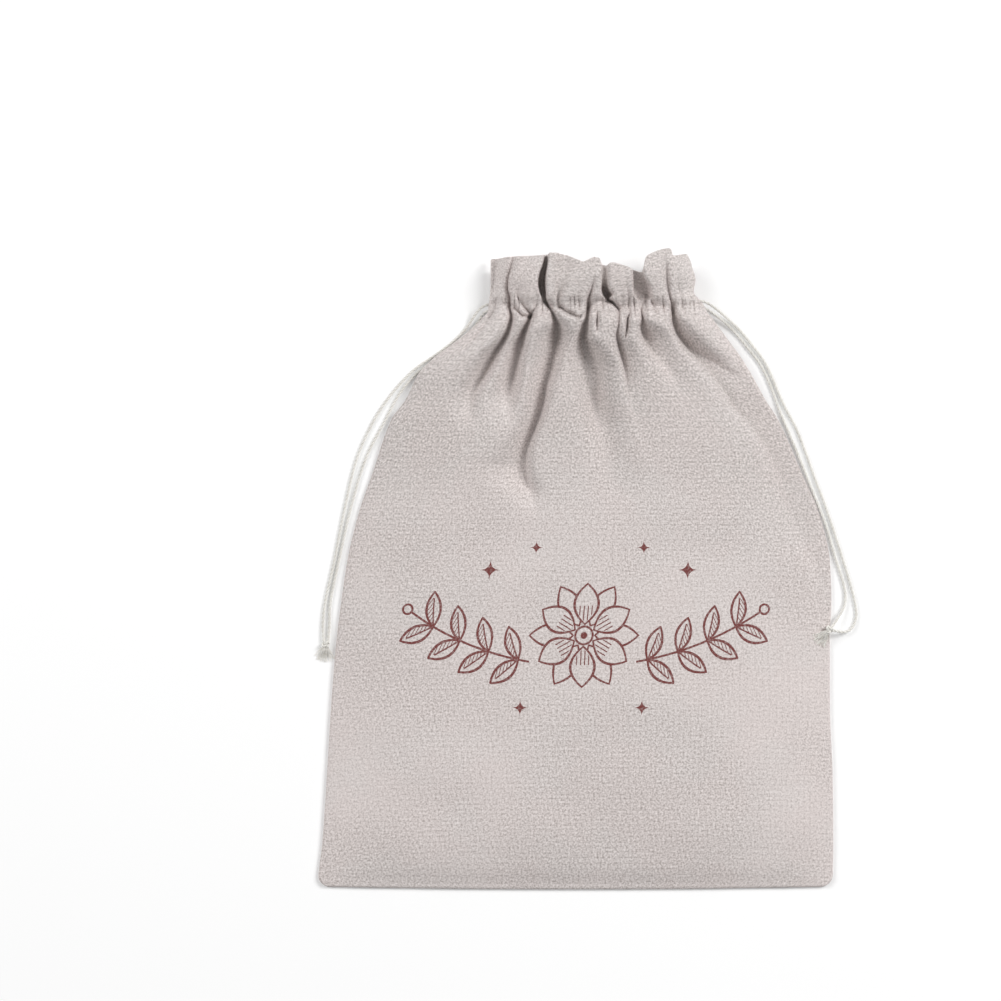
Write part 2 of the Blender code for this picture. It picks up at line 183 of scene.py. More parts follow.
def smoothRoute(points, step, fine=12):      # even points on a smooth curve through a route
    route = [np.array(p, float) for p in points]
    route = [2 * route[0] - route[1]] + route + [2 * route[-1] - route[-2]]
    dense = []
    for a, b, c, d in zip(route, route[1:], route[2:], route[3:]):
        for i in range(fine):
            t = i / fine
            dense.append(0.5 * (2 * b + (c - a) * t + (2 * a - 5 * b + 4 * c - d) * t * t
                                + (3 * b - a - 3 * c + d) * t ** 3))
    dense.append(route[-2])
    dense = np.array(dense)
    at = np.concatenate([[0.0], np.cumsum(np.linalg.norm(np.diff(dense, axis=0), axis=1))])
    wanted = np.linspace(0.0, at[-1], max(2, round(at[-1] / step)) + 1)
    return np.stack([np.interp(wanted, at, dense[:, k]) for k in range(3)], 1)


def frameAlong(points):      # a side and an up direction at each point, turning as little as possible
    ahead = np.gradient(points, axis=0)
    ahead /= np.linalg.norm(ahead, axis=1)[:, None]
    side = np.zeros_like(points)
    start = np.cross(ahead[0], (0.0, 0.0, 1.0))
    side[0] = start / np.linalg.norm(start)
    for i in range(1, len(points)):
        turned = side[i - 1] - ahead[i] * np.dot(side[i - 1], ahead[i])
        side[i] = turned / np.linalg.norm(turned)
    return side, np.cross(ahead, side)


def ropeStrands(points, rope):      # centre lines of a rope's strands, twisted round its path
    side, up = frameAlong(points)
    at = np.concatenate([[0.0], np.cumsum(np.linalg.norm(np.diff(points, axis=0), axis=1))])
    strands = []
    for k in range(rope["plies"]):
        turn = at / rope["twist"] * 2 * math.pi + 2 * math.pi * k / rope["plies"]
        off = np.cos(turn)[:, None] * side + np.sin(turn)[:, None] * up
        strands.append(points + off * rope["offset"])
    return strands


def tubeMesh(name, lines, radius, sides, taper=None):      # round tubes with closed ends
    verts, faces, uvs = [], [], []
    for line in lines:
        side, up = frameAlong(line)
        at = np.concatenate([[0.0], np.cumsum(np.linalg.norm(np.diff(line, axis=0), axis=1))])
        first = len(verts)
        for i, point in enumerate(line):
            wide = radius * (taper(i / (len(line) - 1)) if taper else 1.0)
            for k in range(sides):
                a = 2 * math.pi * k / sides
                verts.append(point + wide * (math.cos(a) * side[i] + math.sin(a) * up[i]))
        for i in range(len(line) - 1):
            for k in range(sides):
                m = (k + 1) % sides
                row, nextRow = first + i * sides, first + (i + 1) * sides
                faces.append((row + k, row + m, nextRow + m, nextRow + k))
                low, high = k / sides, (k + 1) / sides
                uvs += [(low, at[i]), (high, at[i]), (high, at[i + 1]), (low, at[i + 1])]
        last = first + (len(line) - 1) * sides
        faces.append(tuple(range(first + sides - 1, first - 1, -1)))
        faces.append(tuple(range(last, last + sides)))
        uvs += [(0.0, 0.0)] * (2 * sides)
    mesh = bpy.data.meshes.new(name)
    mesh.from_pydata([tuple(v) for v in verts], [], faces)
    layer = mesh.uv_layers.new(name="strand")
    layer.data.foreach_set("uv", np.array(uvs, np.float32).ravel())
    mesh.shade_smooth()
    return mesh


# Cotton cord: colour, fine twist of the fibres, a little unevenness

cottonSettings = {
    "colour": (0.88, 0.865, 0.825),
    "shade": (0.62, 0.595, 0.545),
    "fibreTwist": 2600.0,
    "bump": 0.35,
}


def cottonFinish(name, settings):
    finish, wire, shader = newFinish(name, 0.88, settings["colour"])
    around, along, _ = wire.add("ShaderNodeUVMap", {"uv_map": "strand"}).split()
    place = wire.add("ShaderNodeTexCoord", out=3)
    fibres = (around * (6 * math.pi) + along * settings["fibreTwist"]).sin() * 0.5 + 0.5
    fuzz = noise(wire, place, 1900.0, 3.0)
    patch = noise(wire, place, 160.0, 2.0)
    dark = (fibres * 0.22 + fuzz.fade(0.35, 0.75) * 0.35 + patch.fade(0.4, 0.7) * 0.25).clip()
    colour = wire.add("ShaderNodeMix", {"data_type": "RGBA"},
                      {0: dark, 6: (*settings["colour"], 1.0), 7: (*settings["shade"], 1.0)}, out=2)
    wire.tree.links.new(colour.socket, shader.inputs["Base Color"])
    bump = wire.add("ShaderNodeBump", None, {"Strength": settings["bump"], "Distance": 0.0002,
                                             "Height": fibres * 0.6 + fuzz * 0.4})
    wire.tree.links.new(bump.socket, shader.inputs["Normal"])
    shader.inputs["Sheen Weight"].default_value = 0.2
    return finish


cotton = cottonFinish("cottonCord", cottonSettings)


# Cords: two plies twisted, from inside the channel's ends to the knots

cordSettings = {
    "diameter": 0.0018,      # metres
    "plies": 2,
    "twist": 0.0052,         # metres of cord to one whole turn
    "offset": 0.00042,       # metres from the path to a ply's middle
    "plyRadius": 0.00048,
    "step": 0.00055,
    "sides": 8,
    # points of each path in metres, from inside the channel to the knot
    "leftOuter": [
        (-0.0465, 0.1544, 0.0064), (-0.0515, 0.1542, 0.0064), (-0.056, 0.1518, 0.0052),
        (-0.0594, 0.1474, 0.0032), (-0.0628, 0.1423, 0.0015), (-0.0676, 0.1366, 0.00098),
        (-0.0746, 0.1304, 0.00098), (-0.0826, 0.1246, 0.00098), (-0.0904, 0.1194, 0.00098),
        (-0.0974, 0.1136, 0.00098), (-0.108, 0.1016, 0.00098), (-0.1179, 0.0864, 0.00098),
        (-0.1278, 0.0642, 0.00098), (-0.1348, 0.035, 0.00098), (-0.1407, 0.0053, 0.00098),
        (-0.1459, -0.0181, 0.00098), (-0.1474, -0.032, 0.0011), (-0.1468, -0.0413, 0.0017)],
    "leftInner": [
        (-0.0465, 0.1508, 0.0064), (-0.051, 0.1506, 0.0064), (-0.0542, 0.1486, 0.005),
        (-0.0568, 0.1446, 0.0028), (-0.0602, 0.14, 0.0013), (-0.0654, 0.1348, 0.00098),
        (-0.0728, 0.1284, 0.00098), (-0.0808, 0.1226, 0.00098), (-0.0882, 0.1178, 0.00098),
        (-0.0946, 0.1126, 0.00098), (-0.1032, 0.1018, 0.00098), (-0.1114, 0.0864, 0.00098),
        (-0.1226, 0.0642, 0.00098), (-0.1313, 0.035, 0.00098), (-0.138, 0.0053, 0.00098),
        (-0.1429, -0.0181, 0.00098), (-0.1436, -0.032, 0.0011), (-0.1442, -0.0412, 0.0019)],
    "rightInner": [
        (0.0695, 0.153, 0.0064), (0.0745, 0.1524, 0.0063), (0.0794, 0.1496, 0.0048),
        (0.086, 0.1448, 0.0022), (0.0934, 0.1378, 0.00098), (0.1007, 0.129, 0.00098),
        (0.1074, 0.1202, 0.00098), (0.1119, 0.1115, 0.00098), (0.1158, 0.1016, 0.00098),
        (0.1194, 0.0916, 0.00098), (0.1256, 0.0772, 0.00098), (0.1314, 0.063, 0.00098),
        (0.137, 0.049, 0.00098), (0.1422, 0.036, 0.00098), (0.147, 0.023, 0.00098),
        (0.151, 0.0084, 0.00098), (0.1557, -0.0064, 0.00098), (0.1574, -0.0154, 0.0011),
        (0.1562, -0.0226, 0.0019), (0.1526, -0.0286, 0.0034), (0.15, -0.0323, 0.0046)],
    "rightOuter": [
        (0.0695, 0.1566, 0.0064), (0.0748, 0.156, 0.0062), (0.0806, 0.1528, 0.0046),
        (0.0878, 0.147, 0.0021), (0.0954, 0.1399, 0.00098), (0.1029, 0.131, 0.00098),
        (0.1098, 0.1218, 0.00098), (0.1145, 0.1125, 0.00098), (0.1186, 0.1024, 0.00098),
        (0.1232, 0.0926, 0.00098), (0.1288, 0.082, 0.00098), (0.1344, 0.0677, 0.00098),
        (0.1396, 0.0531, 0.00098), (0.1446, 0.04, 0.00098), (0.1495, 0.026, 0.00098),
        (0.1543, 0.011, 0.00098), (0.159, -0.0041, 0.00098), (0.1625, -0.0171, 0.00098),
        (0.1637, -0.027, 0.001), (0.1611, -0.0342, 0.0016), (0.1564, -0.0364, 0.0029),
        (0.1509, -0.0357, 0.005)],
}

knotSettings = {
    "left": {"centre": (-0.1456, -0.0439, 0.0021), "size": (0.0023, 0.0021, 0.0019),
             "turn": 20.0, "fan": -100.0, "spread": 76.0, "length": 0.0102, "seed": 4},
    "right": {"centre": (0.1476, -0.0350, 0.0056), "size": (0.0022, 0.0023, 0.0019),
              "turn": -35.0, "fan": -126.0, "spread": 60.0, "length": 0.0112, "seed": 11},
    "rope": {"plies": 2, "twist": 0.0040, "offset": 0.00036, "plyRadius": 0.00044},
    "sides": 8,
    "points": 150,
    "swell": 1.22,
    "entry": 0.0009,      # metres from a knot's middle to a cord's end
    "coreReach": 0.55, "corePoints": 9, "coreRadius": 0.0011, "coreSides": 10,
}


def makeCords(settings):
    cords = {}
    for name in ("leftOuter", "leftInner", "rightInner", "rightOuter"):
        # each cord's last point is just inside its knot
        last = Vector(settings[name][-1])
        middle = Vector(knotSettings[name[:-5]]["centre"])
        entry = middle + (last - middle).normalized() * knotSettings["entry"]
        path = smoothRoute(settings[name] + [tuple(entry)], settings["step"])
        mesh = tubeMesh(name + "Cord", ropeStrands(path, settings), settings["plyRadius"],
                        settings["sides"])
        cord = makeObject(name + "Cord", mesh, cotton)
        length = float(np.linalg.norm(np.diff(path, axis=0), axis=1).sum())
        cords[name] = (cord, path, length)
    return cords


def makeKnotHead(side, settings):      # a loop of the rope that goes over and under itself
    knot, rope = settings[side], settings["rope"]
    t = np.linspace(0.0, 2 * math.pi, settings["points"])
    loop = np.stack([np.sin(t) + 2 * np.sin(2 * t), np.cos(t) - 2 * np.cos(2 * t), -np.sin(3 * t)], 1)
    loop /= (3.0, 3.0, 1.35)
    reach = np.array(knot["size"]) * settings["swell"] - rope["plyRadius"] - rope["offset"]
    turn = math.radians(knot["turn"])
    spin = np.array([[math.cos(turn), -math.sin(turn), 0], [math.sin(turn), math.cos(turn), 0],
                     [0, 0, 1]])
    loop = (loop @ spin.T) * reach + np.array(knot["centre"])
    lines = ropeStrands(loop, rope)
    across = np.linspace(-settings["coreReach"], settings["coreReach"], settings["corePoints"])
    core = np.array(knot["centre"]) + across[:, None] * np.array([0.0, knot["size"][1], 0.0])
    mesh = tubeMesh(side + "Knot", lines, rope["plyRadius"], settings["sides"])
    middle = tubeMesh(side + "Core", [core], settings["coreRadius"], settings["coreSides"],
                      lambda s: math.sqrt(max(0.02, 1 - (2 * s - 1) ** 2)))
    return mesh, middle


def joinMeshes(name, meshes, *finishes):
    joined = bmesh.new()
    for mesh in meshes:
        joined.from_mesh(mesh)
    made = bpy.data.meshes.new(name)
    joined.to_mesh(made)
    joined.free()
    for mesh in meshes:
        bpy.data.meshes.remove(mesh)
    made.shade_smooth()
    return makeObject(name, made, *finishes)


cords = makeCords(cordSettings)
print("cords made", {name: round(made[2], 4) for name, made in cords.items()})


# The bag's outline and rise, as in the solids

outline = [      # height, left seam, right seam
    (-185.0, -150.4, 150.0), (-158.8, -147.7, 150.3), (-123.2, -145.3, 150.0),
    (-76.5, -142.4, 148.3), (-41.4, -139.5, 148.3), (-18.1, -136.6, 149.2),
    (5.3, -133.1, 148.3), (34.4, -126.1, 141.5), (54.3, -119.1, 132.8), (87.6, -107.4, 118.0),
    (98.6, -99.4, 110.9), (114.4, -91.4, 102.0), (123.7, -82.3, 96.3), (133.7, -68.9, 89.0),
    (145.3, -55.5, 80.4), (150.0, -51.4, 76.6), (155.0, -50.6, 74.0), (162.0, -49.8, 68.8),
    (170.0, -49.6, 69.8), (178.0, -49.6, 67.8), (187.0, -49.4, 65.0)]
rise = [      # height, ridges of the front, lift of the side seams, squareness of the arch
    (-185.0, 1.4, 0.0, 4.0), (-172.0, 5.6, 0.0, 4.0), (-145.0, 9.4, 0.0, 4.0),
    (-95.0, 11.6, 0.0, 4.0), (-20.0, 12.6, 0.0, 4.0), (40.0, 14.0, 0.0, 4.0),
    (80.0, 16.4, 0.7, 4.5), (110.0, 19.4, 2.3, 5.0), (132.0, 22.4, 3.4, 6.0),
    (145.0, 23.8, 3.9, 7.0), (152.5, 21.8, 4.0, 7.0), (160.0, 22.8, 4.0, 7.0),
    (170.0, 24.4, 3.8, 7.0), (187.0, 23.6, 3.4, 6.0)]
bagSettings = {
    "bottom": -185.0, "corner": 7.0, "bow": 1.5, "bowReach": 60.0,
    "channel": 152.5, "channelTop": 158.5, "casingOpen": 2.5, "casingHalf": 5.5,
    "frontGap": 1.4,         # from the floor to the front cloth's inner face at its seams
    "frontOut": 1.1,         # and from there to its outer face
    "cutWidth": 300.0, "cutBottom": -190.0,
    "headingTop": 180.0,      # the wavy hem's mean height
}


def seams(y):
    above = np.clip((y - bagSettings["bottom"]) / bagSettings["corner"], 0.0, 1.0)
    cut = bagSettings["corner"] * (1.0 - np.sqrt(1.0 - (1.0 - above) ** 2))
    return readTable(outline, 1, y) + cut, readTable(outline, 2, y) - cut


def bottomBow(side, y):
    fall = 1.0 - ease((y - bagSettings["bottom"]) / bagSettings["bowReach"])
    return -bagSettings["bow"] * (1.0 - side ** 2) * fall


def waves(x, y, seed, count, shortest, longest):      # gentle seeded unevenness, about -1 to 1
    source = np.random.default_rng(seed)
    total = np.zeros(np.broadcast(x, y).shape)
    for _ in range(count):
        size = source.uniform(shortest, longest)
        turn, start = source.uniform(0, math.pi), source.uniform(0, 2 * math.pi)
        total += np.sin((x * math.cos(turn) + y * math.sin(turn)) * 2 * math.pi / size + start)
    return total / math.sqrt(count * 2)


def roundedEdge(distance, radius):      # how far a surface drops near its edge, as a quarter round
    near = np.clip(1.0 - distance / radius, 0.0, 1.0)
    return radius * (1.0 - np.sqrt(1.0 - near ** 2))


# Folds of the front: height, place, depth and the half widths of its left and right walls

folds = {
    "leftCrease": [
        (115, -78.8, 0, 2.3, 2.9), (123.2, -69.5, 1.2, 2, 2.3), (130.2, -62.5, 2.4, 1.8, 2.1),
        (137.2, -56.6, 3, 1.8, 2), (146.5, -50.2, 3, 1.8, 1.8), (157, -45.5, 1, 1.8, 1.8)],
    "firstFold": [
        (80, -63.2, 0, 8.8, 6.7), (88.1, -62.6, 2.1, 7.5, 5.6), (95.7, -61.6, 6, 7.2, 4.4),
        (103.9, -59.5, 9, 7, 4.5), (112.1, -54.9, 12.5, 6.1, 4.5), (119.7, -50.8, 13.6, 5.9, 4.8),
        (126.7, -46.8, 13.3, 4.6, 4.1), (132.5, -42.8, 12.1, 3.1, 3.1),
        (139.5, -39.1, 10, 2.3, 2.3), (147.1, -37.4, 9.2, 1.8, 1.8), (152.3, -38.5, 6.5, 1.5, 1.3),
        (158.2, -38.5, 6.9, 1.8, 1.3), (162.9, -39.7, 5.8, 1.8, 1.5), (168.7, -39.4, 4.7, 1.8, 1.5),
        (174.5, -37.9, 3.6, 1.8, 1.5), (182.1, -36.2, 2.5, 1.8, 1.5)],
    "secondFold": [
        (74.1, -36.9, 0, 10.2, 7.2), (82.3, -37.5, 1.2, 10.4, 7.3), (89.9, -38.7, 3.9, 9.8, 6.8),
        (98.6, -39.3, 8.5, 9.7, 6.3), (107.4, -38.1, 12, 7.9, 5.7), (114.4, -36.3, 13.3, 7.1, 4.9),
        (122, -34.5, 13.5, 6.6, 4.3), (129, -32.7, 13.6, 6, 3.7), (136.6, -30.7, 13, 3.2, 2.2),
        (142.4, -28.5, 11, 2.1, 2), (147.7, -26.3, 9.5, 1.8, 1.8), (152.9, -29.8, 3.5, 1.8, 1.8),
        (159.4, -33.9, 2.8, 2.3, 2.3), (168.7, -30.9, 1.1, 2.9, 2.9),
        (182.1, -27.4, 0.62, 3.5, 2.9)],
    "longFold": [
        (29.8, -23.6, 0, 9.8, 5.8), (37.4, -24.7, 1.3, 10.4, 5.3), (46.1, -26.2, 5.1, 11.2, 4.1),
        (53.1, -28, 8.4, 13.8, 2.7), (60.1, -29, 9.7, 14.9, 2.3), (66.5, -28.9, 10.4, 10.6, 2.1),
        (73.5, -27.2, 11.1, 8.6, 2), (81.1, -24.3, 11.7, 8, 2), (89.9, -20.9, 12.5, 8.5, 2),
        (98.6, -18.6, 13.3, 8.9, 2.3), (107.4, -17.2, 13.8, 8.9, 2.7), (115, -15.1, 14.4, 9.5, 3.5),
        (122, -13.8, 15, 9.3, 4), (129.6, -12.1, 15.8, 8.3, 5.2), (136, -11, 16.8, 6.7, 4.5),
        (141.8, -11, 15, 3.6, 3), (147.1, -12.7, 10.8, 2, 1.8), (152.3, -15.5, 7, 1.3, 1.2),
        (157, -18.4, 9.2, 1.2, 1.2), (161.1, -19.3, 14.7, 1.9, 1.8), (166.4, -19.8, 16.6, 2.2, 1.9),
        (171.6, -19.2, 15.2, 2, 1.6), (176.9, -17.9, 11.7, 1.5, 1.2), (183.9, -17, 8.2, 1.1, 0.9)],
    "headingHollow": [
        (151.2, -9.3, 0, 1.5, 1.5), (154.7, -10.5, 3.5, 1.5, 1.5), (158.2, -10.5, 4.5, 1.8, 1.8),
        (162.9, -9.9, 4, 2.3, 2.9), (168.7, -8.8, 4, 3.5, 4.1), (174.5, -7.6, 4, 4.7, 5.3),
        (182.7, -6.4, 3, 4.7, 5.3)],
    "middleFold": [
        (37.4, 22.8, 0, 12.8, 14), (46.1, 21.7, 0.76, 12.8, 14), (55.5, 20.1, 1.9, 11.7, 12.8),
        (63.6, 18.5, 3.4, 10.5, 11.7), (71.8, 16.3, 5, 8.6, 10.9), (80, 13.9, 6.8, 7.5, 11.2),
        (88.1, 12.3, 9.2, 7.6, 9.8), (96.3, 10.9, 12.2, 7.4, 8.5), (103.3, 9.9, 14.1, 7.9, 8.4),
        (110.3, 9.3, 15.8, 8.2, 8.5), (117.3, 8.2, 16.2, 8.3, 9.3), (123.2, 6.6, 16.2, 7.6, 8.3),
        (129, 5, 15.6, 5.9, 6.3), (134.8, 4, 15.3, 3.7, 3.3), (140.7, 4.9, 12.8, 2.7, 2.6),
        (146.5, 6.4, 9.9, 1.8, 1.8), (151.2, 7, 8.7, 1.5, 1.5), (157, 7.3, 6.5, 1.5, 1.5),
        (162.3, 8.8, 3.7, 1.5, 1.5), (166.9, 9.9, 1.9, 1.5, 1.5), (172.2, 11.1, 0, 1.5, 1.5)],
    "slit": [
        (135.4, 12.3, 0, 1.1, 1.1), (139.5, 12, 2.5, 1.1, 1.1), (143.6, 12, 4.5, 1.1, 1.1),
        (148.3, 12.3, 3, 0.9, 0.9), (152.9, 12.3, 0, 0.9, 0.9)],
    "ridgeFold": [
        (47.3, 47.9, 0, 3.5, 9.3), (56.6, 45.3, 0.14, 2.9, 9.3), (66, 42.2, 0.34, 2.3, 9.3),
        (75.3, 39.1, 0.59, 2, 8.8), (84.6, 36, 0.92, 1.8, 8.2), (94, 32.9, 1.4, 1.8, 7),
        (103.3, 30.3, 2.7, 1.5, 5.8), (111.5, 29.2, 5.1, 1.5, 5.3), (117.9, 28, 8, 1.8, 5.3),
        (124.3, 26.3, 9.7, 1.8, 5.5), (130.7, 24.5, 9.2, 1.5, 4.4), (136.6, 23.6, 5.9, 1.2, 2),
        (142.4, 24.5, 3.3, 1.1, 1.4), (149.4, 24.8, 3.5, 1.1, 1.2), (152.3, 23.9, 3.5, 1.1, 1.2),
        (155.3, 21, 4, 1.2, 1.2), (157, 18.1, 9, 1.2, 1.3), (159.5, 17.6, 14, 2.2, 3.2),
        (163, 16.2, 13, 1.6, 2.4), (166, 15.8, 7, 1, 2.4), (170.4, 15.4, 4.5, 0.8, 3),
        (175.7, 15.2, 3, 0.7, 3), (182.7, 14.9, 1, 0.7, 2.9)],
    "pinchedSlit": [
        (126.1, 26.9, 0, 1.8, 1.8), (130.7, 27.4, 1.5, 1.4, 1.8), (136, 28.6, 4, 1.2, 1.4),
        (140.7, 29.5, 6, 1.2, 1.2), (145.3, 29.8, 6, 1.2, 1.2), (149.4, 30.9, 3, 1.2, 1.2),
        (152.3, 30.4, 3.5, 1.2, 1.2), (157, 30.4, 3, 1.2, 1.2), (161.7, 29.8, 1.8, 1.2, 1.2),
        (168.7, 28.6, 0.8, 1.3, 1.3), (179.2, 28.6, 0.3, 1.4, 1.4)],
    "openFold": [
        (91.6, 66, 0, 5.8, 7), (98.6, 63, 0.73, 5.8, 7.2), (105.6, 59.5, 1.7, 5.8, 7.3),
        (113.2, 54.9, 3.3, 5.3, 7.4), (119.7, 50.2, 5.1, 4.7, 8.8), (125.5, 45.5, 7.1, 3.5, 10.1),
        (130.7, 42, 9.1, 2.3, 10.2), (136, 39.1, 11.2, 1.8, 8.8), (140.7, 37.9, 9.5, 1.5, 5.5),
        (145.3, 38.5, 6.9, 1.2, 1.5), (150, 37.9, 5.5, 1.2, 1.2), (155.3, 38.5, 4.3, 1.8, 3),
        (159.4, 37.5, 8.6, 4.2, 6), (163.4, 36.5, 10.1, 3.6, 6.5), (168.7, 35.2, 10, 2.4, 5),
        (174.5, 34.8, 9.3, 2.2, 3.6), (184, 34.8, 9.1, 2.2, 3.6)],
    "shoulderFold": [
        (-14.6, 145.2, 0, 4, 6.6), (-6.4, 143.4, 0.77, 3.9, 6.6), (2.3, 140.9, 2.5, 4.2, 6.6),
        (9.9, 137.8, 4, 4.6, 7.8), (18.1, 134.2, 4.9, 4.8, 8.9), (27.4, 130.5, 5.4, 5.1, 10.1),
        (36.8, 126.9, 5.3, 5, 10.4), (46.1, 123.7, 5.1, 4.7, 10.8), (55.5, 120.6, 5.4, 4.3, 11.7),
        (64.8, 116.8, 6.1, 4.1, 12.4), (73, 112.2, 7, 3.8, 14.2), (80, 107.2, 8.3, 3.5, 15.8),
        (86.4, 102, 9.8, 3.4, 15), (92.2, 96.7, 11.1, 3.5, 14.3), (98.1, 92.1, 12.2, 3.6, 12.9),
        (104.5, 88, 12.7, 3.6, 11.9), (110.9, 83.8, 13.2, 3.5, 11.1),
        (117.3, 77.9, 13.8, 3.5, 10.7), (122.6, 72.7, 14.4, 3.5, 10.3),
        (127.8, 66.7, 14.4, 3.5, 9.6), (133.1, 61.9, 13.8, 2.9, 8.1), (138.3, 58.4, 12.7, 2.3, 6.4),
        (144.2, 56.6, 11.3, 2, 4.3), (150, 56, 9, 1.8, 2), (154.1, 55.5, 5, 1.2, 1.3),
        (158.2, 54.3, 4, 1.2, 1.3), (162.9, 53.1, 4.5, 1.5, 1.8), (167.5, 52.5, 5, 2.3, 2.3),
        (173.4, 52.2, 4.5, 2.6, 2.3), (179.2, 51.9, 2.5, 2.3, 2.3), (186.2, 51.9, 1.2, 2.3, 2.3)],
    "rightCrease": [
        (133.7, 65.4, 0, 2.3, 2.9), (140.7, 63.6, 0.6, 1.8, 2.3), (146.5, 62.5, 1.8, 1.4, 1.5),
        (151.2, 61.9, 2.8, 1.3, 1.3), (155.3, 61.3, 2.6, 1.3, 1.3), (159.4, 60.7, 2, 1.4, 1.4),
        (165.2, 59, 1.8, 2.1, 2.1), (171.6, 58.7, 1.5, 2.3, 2.3), (181.5, 58.4, 0.4, 2.3, 2.3)],
    "leftLobe": [
        (157.5, -46.2, 0, 4, 3), (163, -46.2, 2.6, 4.5, 3.5), (172, -45.6, 4.2, 5, 3.5),
        (184, -45.2, 4.6, 5, 3.5)],
}
foldShapes = {      # how sharp each is: its left and right walls below the channel, and the heading
    "leftCrease": (1.2, 1.2, 1.2), "firstFold": (1.7, 1.3, 1.1), "secondFold": (1.8, 1.5, 1.1),
    "longFold": (1.7, 1.2, 4.0), "headingHollow": (1.8, 1.8, 1.8), "middleFold": (1.7, 1.8, 1.2),
    "slit": (1.1, 1.1, 1.1), "ridgeFold": (1.1, 1.3, 3.0), "pinchedSlit": (1.1, 1.1, 1.1),
    "openFold": (1.2, 1.6, 7.0), "shoulderFold": (1.3, 1.6, 1.2), "rightCrease": (1.2, 1.2, 1.2),
    "leftLobe": (2.0, 2.0, 2.0),
}
anchorFolds = ("firstFold", "secondFold", "longFold", "middleFold", "ridgeFold", "openFold",
               "shoulderFold")
headingEdge = [      # place across, height of the heading's hem
    (-49.6, 180.7), (-43.8, 181.2), (-38.5, 181.5), (-35.6, 181.8), (-26.3, 181.8),
    (-19.8, 182.1), (-17.2, 182.4), (-15.8, 183.6), (-11.1, 183.6), (-5.3, 182.1), (-0.6, 180.1),
    (4.1, 178.3), (7.6, 180.1), (10.5, 181.2), (13.4, 180.4), (15.2, 176.3), (16.9, 175.7),
    (19.3, 177.7), (21.6, 178.0), (25.7, 176.9), (29.8, 175.4), (32.7, 174.2), (35.6, 173.1),
    (37.9, 172.2), (38.8, 175.7), (39.7, 180.4), (40.9, 182.1), (43.8, 183.6), (47.3, 185.0),
    (51.4, 186.2), (54.3, 186.5), (55.3, 185.6), (56.0, 182.4), (59.0, 182.7), (62.5, 183.6),
    (64.8, 183.9), (66.2, 181.5), (67.7, 178.0)]
pinch = [      # the drawn line of the channel: place across, height, half width, depth
    (-50.8, 156.4, 1.6, 0.4), (-45.5, 155.8, 1.8, 0.5), (-40.9, 154.7, 1.8, 0.6),
    (-37.9, 153.5, 1.8, 0.8), (-35.0, 151.8, 1.6, 2.4), (-30.9, 147.1, 1.2, 3.2),
    (-26.3, 146.8, 1.2, 2.8), (-23.9, 151.8, 1.8, 0.8), (-19.8, 154.7, 2.0, 0.5),
    (-15.8, 153.5, 2.0, 0.6), (-12.3, 151.8, 1.8, 0.8), (-8.8, 152.1, 1.4, 3.0),
    (-5.3, 149.4, 1.2, 3.2), (-1.2, 147.7, 1.2, 3.2), (1.8, 145.9, 1.2, 2.6), (5.3, 148.8, 1.8, 0.8),
    (7.6, 152.9, 2.0, 0.5), (12.3, 155.3, 1.8, 0.6), (16.9, 155.8, 1.2, 2.6), (21.0, 155.3, 1.2, 2.8),
    (24.5, 151.2, 1.4, 2.2), (27.4, 152.3, 1.8, 0.8), (32.1, 154.1, 2.0, 0.5), (37.9, 155.3, 2.0, 0.4),
    (42.6, 155.8, 2.0, 0.5), (46.7, 152.9, 1.8, 0.6), (51.4, 152.3, 1.8, 0.6), (56.6, 153.5, 1.8, 0.5),
    (61.3, 152.3, 1.6, 0.5), (67.1, 154.7, 1.4, 0.4), (73.0, 155.3, 1.2, 0.3)]
puckers = [      # small creases of the channel: from, to, depth
    (-46.1, 157.0, -49.6, 146.5, 1.0), (-40.9, 158.2, -42.6, 146.5, 0.8),
    (-22.2, 158.2, -24.5, 146.5, 1.0), (-19.3, 157.0, -19.8, 148.8, 0.8),
    (-18.1, 155.8, -15.2, 146.5, 1.2), (-14.6, 155.3, -12.3, 147.1, 1.0),
    (-1.2, 157.0, -2.9, 150.6, 0.5), (1.8, 155.3, 2.9, 142.4, 0.8), (9.9, 155.8, 9.9, 147.7, 0.6),
    (19.8, 154.7, 19.8, 146.5, 0.4), (26.9, 158.2, 27.4, 146.5, 0.9), (33.3, 157.6, 34.4, 146.5, 1.0),
    (36.2, 157.0, 35.6, 146.5, 0.8), (40.9, 159.4, 40.3, 150.0, 1.2), (43.2, 158.2, 46.1, 149.4, 1.6),
    (47.9, 155.3, 49.0, 146.5, 0.6), (50.8, 153.5, 51.9, 144.2, 0.8), (57.8, 159.4, 57.2, 150.0, 1.0),
    (66.0, 158.2, 68.3, 147.7, 0.6), (70.6, 157.0, 72.4, 148.8, 0.5)]
drawnBand = {      # the channel drawn in: a groove across, and small creases along it
    "height": 153.2, "half": 3.6, "groove": 1.7,
    "pitch": 3.5, "reach": 6.2, "crease": 1.25, "narrow": 0.34,
}
frontSettings = {
    "columns": 380,
    "rows": [(-185.0, 9), (-176.0, 46), (20.0, 16), (60.0, 22), (100.0, 38), (142.0, 24)],
    "headingRows": 41,
    "samples": 2400,
    "thickness": 0.85,
    "edgeRadius": 1.35, "hemRadius": 0.42, "farFromHem": 99.0,
    "floorLevel": 6.0, "floorStart": 60.0, "floorSpan": 60.0, "leastRise": 1.0,
    "foldsEnd": 100.0, "restSpan": 60.0, "countAt": 126.0,
    "crispness": 0.03, "blend": 3.0,
    "sharpAngle": 75.0,
    "takeUp": 2.4, "takeUpStart": 40.0, "takeUpSpan": 40.0, "takeUpColumns": 3.0,
    "puckerWidth": 1.15,
    "pinchShare": 2.0, "puckerShare": 1.7,
    "unevenness": 0.42, "unevenSizes": (34.0, 110.0),
    "seed": 7,
}


